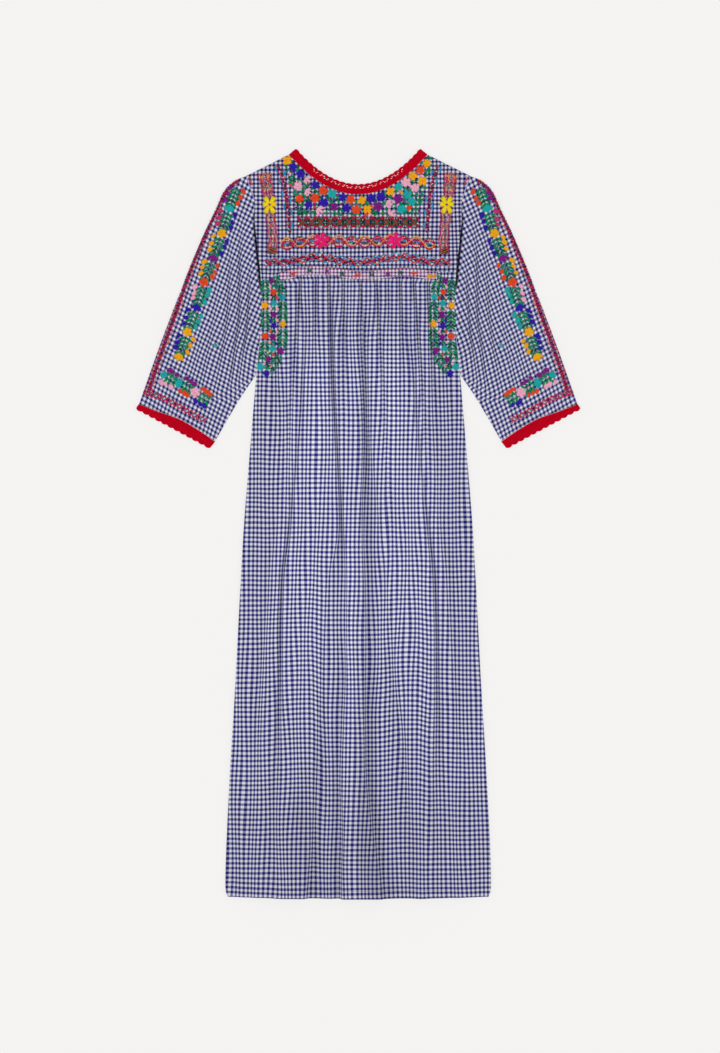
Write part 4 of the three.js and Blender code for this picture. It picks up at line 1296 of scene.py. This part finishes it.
def laySprays(ground, path, units, s):
    unitLength = path.length / len(units)
    for number, unit in enumerate(units):
        outer, inner, *head = unit.split()
        start = number * unitLength
        garland(ground, path, s["pitch"], s["leaf"], s["greens"], (start + 1, start + unitLength * 0.8))
        for colour, side in ((outer, -1), (inner, 1)):
            for step in s["budAt"]:
                at = start + unitLength * step + stitchDraw.uniform(-1.5, 1.5)
                reach = s["budOut"] * (1.0 - 0.28 * step) + stitchDraw.uniform(-0.8, 0.8)
                size = s["budSize"] * stitchDraw.uniform(0.85, 1.15)
                way = wayAngle(path, at)
                bud(ground, colour, alongPath(path, at, side * reach), size, way + side * 0.7)
                leaf(ground, "leafGreen", alongPath(path, at + 2, side * reach * 0.5), way + side * 1.1, 5.5)
        for colour in head:
            place = alongPath(path, start + unitLength * 0.86)
            if number % 2:
                blossom(ground, colour, place, s["headSize"], wayAngle(path, start), 5)
            else:
                tulip(ground, colour, place, s["headSize"], wayAngle(path, start + unitLength * 0.8))
                blossom(ground, colour, place, s["headSize"] * 0.8, 0.3, 5)


outerBand = {
    "pitch": 16.5, "height": 5.8, "inside": ([0, 0.35, 0.6, 1], [1.0, 3.2, 7.2, 8.4]),
    "from": 0.03, "until": 0.955, "half": 3.9, "fold": 0.9,
    "ground": ("black", "navy", "magenta", "black", "rose", "navy", "crimson"),
    "blocks": ((-4.6, "magenta"), (-3, "navy"), (-1.4, "sky"), (0.2, "black"), (1.8, "navy"), (3.6, "rose")),
}
cuffChain = {
    "line": [(-344, 210.5), (-311.5, 200.5), (-288.6, 189), (-267, 176), (-244, 164.5)],
    "cells": 8, "height": 5.4,
    "blocks": ((-4.2, "crimson"), (-2.4, "turquoise"), (-0.8, "turquoise"), (0.8, "white"),
               (2.4, "turquoise"), (4.2, "crimson")),
}


def layOuterBand(ground, s):
    insides = []
    for share in np.linspace(s["from"], s["until"], 24):
        place = sleeveLines["outer"](share)
        inward = sleeveLines["under"](share) - place
        insides.append(place + inward / np.linalg.norm(inward) * np.interp(share, *s["inside"]))
    path = spline(insides)

    def held(at, offset):  # kept on the front's side of the fold, where the band goes round to the back
        share = s["from"] + at / path.length * (s["until"] - s["from"])
        return max(offset, s["fold"] - np.interp(share, *s["inside"]))

    for number, at in enumerate(np.arange(1, path.length - 1, 1.9)):
        colour = s["ground"][number % 7]
        sewAlong(ground, colour, path, (at, held(at, -s["half"])), (at + 0.8, s["half"]), 2.0, 0.05)
    for phase, colour in ((0, "crimson"), (0.5, "orangeRed")):
        wave = ripple(s["pitch"] * 2, s["height"], phase)
        trail(ground, colour, path, lambda d: held(d, wave(d)), 3.1, 1.5, 0.4)
    for at in np.arange(s["pitch"] / 2, path.length - 4, s["pitch"]):
        for shift, colour in s["blocks"]:
            sewAlong(ground, colour, path, (at + shift, -2.2), (at + shift + 1, 2.2), 1.4, 0.15)
        diamond(ground, ["black", "crimson", "navy"], path, at + s["pitch"] / 2, 0, 7.6, 2.4, 5, 0.1)


def layCuffChain(ground, s):
    path = spline(s["line"])
    pitch = path.length / s["cells"]
    for phase in (0, 0.5):
        trail(ground, "magenta", path, zigzag(pitch, s["height"], phase), pitch / 4, 2.0, 0.4)
    for cell in range(s["cells"]):
        middle = (cell + 0.5) * pitch
        for shift, colour in s["blocks"]:
            at = middle + shift
            sewAlong(ground, colour, path, (at - 1.6, -2.4), (at + 1.2, 2.6), 1.7, 0.1)
        sewAlong(ground, "black", path, (cell * pitch, -1.4), (cell * pitch, 1.4), 1.4, 0.3)


armholeZigzag = [(-176, 556), (-173.5, 550), (-169.5, 541)]
for side, name in ((1, "sleeveLeft"), (-1, "sleeveRight")):
    ground = (name, side)
    laySprays(ground, spline(sleeveSprays["line"]), sleeveSprays["units"], sleeveSprays)
    cuffPath = spline(sleeveSprays["cuffLine"])
    colour, size = sleeveSprays["cuffHead"]
    blossom(ground, colour, alongPath(cuffPath, -1), size, 0.2)
    laySprays(ground, cuffPath, sleeveSprays["cuffUnits"], sleeveSprays)
    bud(ground, *sleeveSprays["loose"], 0.5)
    layOuterBand(ground, outerBand)
    layCuffChain(ground, cuffChain)
    edge = spline(armholeZigzag)
    trail(("yoke", side), "rose", edge, zigzag(9, 2.2), 2.25, 1.0, 0.2)
    trail(("yoke", side), "orangeRed", edge, zigzag(9, 1.2, 0.5), 2.25, 0.8, 0.1)
print("sleeves sewn")

sidePatch = {  # by each armhole: two lines of sprays that end in a flower, and single flowers between
    "sprays": [
        {"line": [(-133, 398), (-123, 372), (-120.5, 330), (-121, 290), (-130, 262), (-151, 236)], "size": 12,
         "heads": ["turquoise", "golden", "purple", "royal"]},
        {"line": [(-149, 392), (-149.5, 350), (-148.5, 310), (-151, 275), (-158, 245)], "size": 13,
         "heads": ["golden", "orangeRed", "turquoise"]},
    ],
    "singles": {
        "line": [(-142, 397), (-136, 376), (-135, 330), (-136.5, 290), (-146, 254)], "size": 12, "side": 5.2,
        "colours": ["purple", "orangeRed", "turquoise", "purple", "royal", "purple", "turquoise", "purple"],
        "buds": ["pink", "royal", "pink", "orangeRed", "pink"], "budSize": 7, "leaf": 8,
    },
    "pitch": 5.1, "leaf": 9.6, "lean": 0.86, "breadth": 0.105, "headShare": 0.27,
    "greens": ("leafGreen", "darkGreen", "leafGreen"),
}


def layPatch(ground, s):
    for spray in s["sprays"]:
        path = spline(spray["line"])
        unitLength = path.length / len(spray["heads"])
        for number, colour in enumerate(spray["heads"]):
            span = (number * unitLength, (number + 1 - s["headShare"]) * unitLength)
            garland(ground, path, s["pitch"], s["leaf"], s["greens"], span, s["lean"], s["breadth"])
            place = alongPath(path, (number + 1 - s["headShare"] / 2) * unitLength)
            size = spray["size"] * stitchDraw.uniform(0.92, 1.08)
            blossom(ground, colour, place, size, stitchDraw.uniform(0, 6))
    singles = s["singles"]
    path = spline(singles["line"])
    step = path.length / len(singles["colours"])
    for number, colour in enumerate(singles["colours"]):
        at = (number + 0.5) * step
        size = singles["size"] * stitchDraw.uniform(0.84, 1.08)
        place = alongPath(path, at, stitchDraw.uniform(-1.2, 1.2))
        blossom(ground, colour, place, size, stitchDraw.uniform(0, 6), 5 if number % 3 else 4)
        way = wayAngle(path, at)
        for side in (-1, 1):
            budColour = singles["buds"][(2 * number + (side > 0)) % len(singles["buds"])]
            place = alongPath(path, at + step / 2, side * singles["side"])
            budSize = singles["budSize"] * stitchDraw.uniform(0.8, 1.1)
            bud(ground, budColour, place, budSize, way + side * 0.8)
            place = alongPath(path, at + step * 0.3)
            leaf(ground, s["greens"][number % 3], place, way + side * 0.5, singles["leaf"])


for side in (1, -1):
    layPatch(("skirt", side), sidePatch)
print("patches sewn")

smocking = {
    "half": 126, "depth": 14, "pleatPitch": 2.1, "pleatHeight": 0.8, "steps": 5, "rows": 9, "above": 1.15,
    "held": (0.55, 0.45, 3.5), "belly": 0.5, "cloth": 0.5, "checkPitch": 5.8, "slub": 0.14,
    "colours": {"White": (244, 232, 240), "Half": (160, 140, 182), "Navy": (42, 36, 92)},
    "stitchRows": (-5.6, -2, 2, 6), "lean": 0.9,
}


def smockedSheet(s, material):
    pleats = round(2 * s["half"] / s["pleatPitch"])
    x = np.linspace(-s["half"], s["half"], pleats * s["steps"] + 1)
    pleat = s["pleatHeight"] * np.abs(np.sin(np.pi * (x + s["half"]) / s["pleatPitch"]))
    least, swell, rows = s["held"]
    points, uvs = [], []
    for v in np.linspace(0, 1, s["rows"] + 1):
        y = yokeSeamY(x) - seams["gap"] - s["depth"] * v
        held = least + swell * abs(math.sin(math.pi * v * rows))
        z = skirtFrontMiddle(x, y) + s["above"] + pleat * held + s["belly"] * bump(v - 0.5, 0.6)
        points.append(np.stack([x, y, z], 1))
        uvs.append(np.stack([x, y], 1))
    faces = gridFaces(len(x) - 1, s["rows"])
    return meshPiece("smockedBand", np.concatenate(points), faces, material, np.concatenate(uvs))


smockedGingham = ginghamMaterial("smockedGingham", smocking["checkPitch"], smocking["colours"],
                                 smocking["slub"])
smockedBand = smockedSheet(smocking, smockedGingham)
thicken(smockedBand, smocking["cloth"])
drapes["band"] = drapeOf(smockedBand)
bandGround = ("band", 1)


def laySmocking(s):
    across = np.linspace(-s["half"] + 2, s["half"] - 2, 9)
    path = spline([(x, float(yokeSeamY(x)) - seams["gap"] - s["depth"] / 2) for x in across])
    for number, offset in enumerate(s["stitchRows"]):
        colour = "rose" if number == 3 else "pink"
        for at in np.arange(1, path.length - 1, s["pleatPitch"]):
            lean = s["lean"] if (round(at / s["pleatPitch"]) + number) % 2 else -s["lean"]
            start, end = (at - 0.8, offset - lean), (at + 0.8, offset + lean)
            sewAlong(bandGround, colour, path, start, end, 0.6, 0.05)


laySmocking(smocking)

smockFigures = {  # every figure's place along the band and its kind, and each kind's thread and stance
    "places": [-104, -78, -50, -26, -2, 22, 47.5, 67, 89], "kinds": "abcdabcda",
    "threads": {"b": ("darkGreen", 3.8), "c": ("purple", 2.9), "d": ("darkGreen", 2.3)},
    "flowers": ((114, -9.5, 8.5), (121.5, -9, 6), (124, -5, 4)),  # place, rise from the seam, size
}


def layFigure(kind, x):  # a small woven-looking figure, about a pleat group wide
    y = float(yokeSeamY(x)) - smocking["depth"] / 2 - 0.5
    if kind == "a":
        middle = spline([(x - 8, y - 0.5), (x, y), (x + 8, y - 0.5)])
        diamond(bandGround, ["orangeRed"], middle, middle.length / 2, -0.5, 6.4, 3.6, 5, 0.5)
        for lean, rise in ((-1, -2.4), (1, 1.8)):
            sew(bandGround, "orangeRed", (x + lean * 1.4, y + 1), (x + lean * 7.6, y + rise), 1.8, 0.6)
        sew(bandGround, "orangeRed", (x - 1.6, y + 6), (x + 1.6, y + 5.4), 1.2, 0.5)
    else:
        colour, foot = smockFigures["threads"][kind]
        for lean in (-1, 1):
            sew(bandGround, colour, (x + lean * 0.8, y + 3.4), (x + lean * foot, y - 5.2), 2.0, 0.5)
            sew(bandGround, colour, (x + lean * foot, y + 2.6), (x + lean * 0.6, y - 1.6), 1.6, 0.5)
        sew(bandGround, colour, (x - 2.6, y - 1), (x + 2.6, y - 1), 1.7, 0.6)
        sew(bandGround, "orangeRed", (x - 1.5, y + 5.8), (x + 1.5, y + 5.4), 1.9, 0.6)


for kind, x in zip(smockFigures["kinds"], smockFigures["places"]):
    layFigure(kind, x)
for x, rise, size in smockFigures["flowers"]:
    blossom(bandGround, "golden", (x, float(yokeSeamY(x)) + rise), size, 0.4, 5)
print("band smocked")

# Crochet edgings: dense rows by the seam, shells with eyelets, and a scalloped border

crochet = {
    "solid": 0.5, "border": 0.84, "rows": 5, "hole": 4.3, "stitch": 2.2, "yarn": 1.7, "wall": 0.9,
    "neckScallops": 24, "neckDip": 2.0, "cuffScallops": 12, "cuffDip": 3.2, "neckZ": (0.7, 2.2),
    "neckColumns": 12, "neckRows": 20, "cuffColumns": 8, "cuffRows": 8, "cuffWall": 1.3, "cuffFoldSteps": 5,
    "red": linear(208, 0, 34), "shine": 0.04,
}
crochetCotton = threadMaterial("crochetCotton", crochet["red"])
crochetCotton.node_tree.nodes["Principled BSDF"].inputs["Specular IOR Level"].default_value = crochet["shine"]


def edgingLay(seamLine, freeLine, scallops, dip):
    def lay(share, v):
        share = np.asarray(share, float)
        seam, free = seamLine(share), freeLine(share)
        towards = seam - free
        towards = towards / np.linalg.norm(towards, axis=-1, keepdims=True)
        lobe = np.abs(np.sin(np.pi * scallops * share)) ** 0.7
        free = free + towards * (dip * (1 - lobe) * np.asarray(v) ** 3)[..., None]
        return mix(seam, free, np.asarray(v, float)[..., None])
    return lay


def eyeletOpen(band, number, step):
    middle = (number + 0.5 + 0.5 * band) * step
    return 0.17 < middle < 0.83 and (number * 7 + band * 4) % 5 > 1


def crochetRows(lay, length, scallops, s, z):
    rows = []

    def strand(a, b, width, lift=0.0):
        start, end = lay(*map(np.float64, a)), lay(*map(np.float64, b))
        rows.append((*start, z, *end, z, z, width, lift))

    across = round(length / s["stitch"])
    for row in range(s["rows"]):
        low, high = (s["solid"] * (row + part) / s["rows"] for part in (0.0, 1.12))
        for column in range(across):
            middle = (column + 0.5) / across
            for lean in (-0.5, 0.5):
                strand((middle + lean / across, high), (middle, low), s["yarn"])
    step = s["hole"] / length
    middleLine = (s["solid"] + s["border"]) / 2
    for line in (s["solid"] + 0.03, middleLine, s["border"]):
        for share in np.arange(0, 1 - 0.4 * step, step / 2):
            strand((share, line), (min(1, share + step * 0.56), line), s["yarn"] * 0.8, 0.1)
    for band, (low, high) in enumerate(((s["solid"], middleLine), (middleLine, s["border"]))):
        for number in range(int(1 / step) + 1):
            for part in (0,) if eyeletOpen(band, number, step) else (0, 0.25, 0.5, 0.75):
                share = (number + part + 0.5 * band) * step
                if share < 1:
                    strand((share, low), (share, high), s["yarn"] * 0.85, 0.1)
    borders = scallops * 6
    for column in range(borders):
        middle = (column + 0.5) / borders
        border = s["border"]
        for low, high, lift in ((border - 0.06, border + 0.1, 0.1), (border + 0.05, 1.0, 0.15)):
            for lean in (-0.5, 0.5):
                strand((middle + lean / borders, high), (middle, low), s["yarn"] * 1.15, lift)
        rim = (max(0, (column - 0.1) / borders), min(1, (column + 1.1) / borders))
        strand((rim[0], 0.985), (rim[1], 0.985), s["yarn"] * 0.95, 0.3)
    return rows


def threadPiece(name, rows, material):
    points, faces, uvs = laidStitches(rows)
    return meshPiece(name, points, faces, material, uvs, "stitch")


def crocheted(backing, rows, s):  # the backing with its wall, and the stitches joined to it
    thicken(backing, s["wall"])
    selectOnly([backing, threadPiece(backing.name + "Stitches", rows, crochetCotton)])
    bpy.ops.object.join()
    return backing


def neckFree(share):
    x = neckline["half"] * np.sin(np.pi * (share - 0.5))
    return x, seams["neckTop"] - neckline["depth"] * (1 - (x / neckline["half"]) ** 2)


neckSeamLine = spline([neckSeam(share) for share in np.linspace(0, 1, 25)])
neckFreeLine = spline([neckFree(share) for share in np.linspace(0, 1, 25)])


def neckEdging(name, z, s):
    lay = edgingLay(neckSeamLine, neckFreeLine, s["neckScallops"], s["neckDip"])
    step = s["hole"] / neckSeamLine.length
    columns, rows = s["neckScallops"] * s["neckColumns"], s["neckRows"]
    middleLine = (s["solid"] + s["border"]) / 2
    shares = np.linspace(0, 1, columns + 1)
    points = [lay(shares, np.full(columns + 1, v)) for v in np.linspace(0, 0.99, rows + 1)]
    flat = np.concatenate(points)
    faces = []
    for number, face in enumerate(gridFaces(columns, rows)):
        v = (number // columns + 0.5) / rows
        share = (number % columns + 0.5) / columns
        band = 0 if v < middleLine else 1
        cell = share / step - 0.5 * band
        within = s["solid"] + 0.05 < v < s["border"] - 0.02 and abs(v - middleLine) > 0.03
        if not (within and 0.24 < cell % 1 < 0.76 and cell > 0 and eyeletOpen(band, int(cell), step)):
            faces.append(face[::-1])
    points = np.column_stack([flat, np.full(len(flat), z)])
    backing = meshPiece(name, points, faces, crochetCotton, flat / s["stitch"], "stitch")
    rows = crochetRows(lay, neckSeamLine.length, s["neckScallops"], s, z + s["wall"] / 2)
    return crocheted(backing, rows, s)


neckEdgingBack = neckEdging("neckEdgingBack", crochet["neckZ"][0], crochet)
neckEdgingFront = neckEdging("neckEdgingFront", crochet["neckZ"][1], crochet)

cuffSeam, cuffFree = spline(sleeveEdges["cuff"]), spline(sleeveEdges["edging"])
cuffAway = cuffFree(0.5) - cuffSeam(0.5)
cuffAway = cuffAway / np.linalg.norm(cuffAway)


def cuffEdging(name, side, s):
    seamLine = lambda share: cuffSeam(share) + cuffAway * seams["gap"]
    lay = edgingLay(seamLine, cuffFree, s["cuffScallops"], s["cuffDip"])
    edges = {
        "top": lambda share: lay(share, np.zeros_like(share)),
        "bottom": lambda share: lay(share, np.ones_like(share) * 0.98),
        "outer": lambda v: lay(np.zeros_like(v, float), v), "under": lambda v: lay(np.ones_like(v, float), v),
    }
    points, around = flatTube(edges, s["cuffScallops"] * s["cuffColumns"], s["cuffRows"], s["cuffWall"],
                              s["cuffFoldSteps"], lambda u, v, place: 0 * u)
    uvs = points[:, :2] / s["stitch"]
    topZ = points[:, 2].max() + s["wall"] / 2
    points[:, 0] *= side
    faces = gridFaces(around, s["cuffRows"], closed=True)
    if side < 0:
        faces = [face[::-1] for face in faces]
    backing = meshPiece(name, points, faces, crochetCotton, uvs, "stitch")
    rows = np.array(crochetRows(lay, cuffSeam.length, s["cuffScallops"], s, topZ))
    rows[:, [0, 3]] *= side
    return crocheted(backing, rows, s)


cuffEdgingLeft = cuffEdging("cuffEdgingLeft", 1, crochet)
cuffEdgingRight = cuffEdging("cuffEdgingRight", -1, crochet)
for edging, node in ((neckEdgingBack, "neck_edging_back"), (neckEdgingFront, "neck_edging_front"),
                     (cuffEdgingLeft, "cuff_edging_left"), (cuffEdgingRight, "cuff_edging_right")):
    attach(edging, "root")
    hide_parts(node)
print("edgings crocheted")

hemStitches = {"above": 13.2, "length": 2.3, "pitch": 3.5, "width": 0.55, "inset": 3}
seamStitches = {"above": 2.4, "length": 1.84, "half": 146, "count": 85}


def sewHem(s, seam):
    half = seams["hemHalf"] - s["inset"]
    for x in np.arange(-half, half, s["pitch"]):
        y = float(hemY(x)) + s["above"]
        sew(skirtGround, "navy", (x, y), (x + s["length"], y), s["width"], 0.05)
    for share in np.linspace(0.02, 0.98, seam["count"]):
        x = mix(-150, 150, share)
        y = float(yokeSeamY(x)) + seam["above"]
        if abs(x) < seam["half"]:
            sew(yokeGround, "navy", (x, y), (x + seam["length"], y), s["width"], 0.05)


sewHem(hemStitches, seamStitches)

for colour, rows in stitches.items():
    if rows:
        cotton = threadMaterial(colour + "Cotton", linear(*threadShades[colour]))
        threads = threadPiece(colour + "Thread", rows, cotton)
        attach(threads, "root")
print("threads laid:", sum(len(rows) for rows in stitches.values()), "stitches")

finishSheet(skirtFront, "skirt_front")
finishSheet(skirtBack, "skirt_back")
finishSheet(yokeFront, "yoke_front")
finishSheet(yokeBack, "yoke_back")
finishSheet(sleeveLeft, "sleeve_left")
finishSheet(sleeveRight, "sleeve_right")
finishSheet(smockedBand, "smocked_band")

# Floor, light and camera

photo = {  # in pixels, and the scale in millimetres a pixel
    "scale": 1.6, "centre": (360, 526.5), "dressCentre": (358.2, 523.5), "height": 1053,
}
studio = {
    "floor": linear(244, 243, 242), "floorGlow": 0.8, "floorSize": 30, "floorAt": -0.6, "fill": 0.70,
    "suns": [("softLeft", 0.85, -165), ("softRight", 0.75, -15)],  # name, strength, turn
    "tilt": 55, "spread": 40,
    "cameraHeight": 4500, "sensor": 36, "focus": 8,
}

bpy.ops.object.select_all(action="DESELECT")
bpy.ops.mesh.primitive_plane_add(size=studio["floorSize"], location=(0, 0, studio["floorAt"] * unit))
floor = bpy.context.object
floor.name = "floor"
floorMaterial, _, floorShader = newMaterial("floorPaper", looks["paper"])
glow = studio["floorGlow"]
floorShader.inputs["Base Color"].default_value = [part * (1 - glow) for part in studio["floor"][:3]] + [1]
floorShader.inputs["Emission Color"].default_value = studio["floor"]
floorShader.inputs["Emission Strength"].default_value = glow
floor.data.materials.append(floorMaterial)

world = bpy.data.worlds.new("studio")
bpy.context.scene.world = world
world.use_nodes = True
world.node_tree.nodes["Background"].inputs["Color"].default_value = (1, 1, 1, 1)
world.node_tree.nodes["Background"].inputs["Strength"].default_value = studio["fill"]

for lightName, energy, turn in studio["suns"]:
    way = (0, math.radians(studio["tilt"]), math.radians(turn))
    bpy.ops.object.light_add(type="SUN", location=(0, 0, 3), rotation=way)
    sideLight = bpy.context.object
    sideLight.name = lightName
    sideLight.data.energy = energy
    sideLight.data.angle = math.radians(studio["spread"])

frameHeight = photo["height"] * photo["scale"]
offset = [(photo["centre"][axis] - photo["dressCentre"][axis]) * photo["scale"] * unit for axis in (0, 1)]
place = (offset[0], -offset[1], studio["cameraHeight"] * unit)
bpy.ops.object.camera_add(location=place, rotation=(0, 0, 0))
camera = bpy.context.object
camera.name = "photoCamera"
camera.data.sensor_width = studio["sensor"]
camera.data.lens = studio["sensor"] * (studio["cameraHeight"] - studio["focus"]) / frameHeight
camera.data.dof.use_dof = False
bpy.context.scene.camera = camera
bpy.context.scene.view_settings.view_transform = "Standard"
print("stage set")
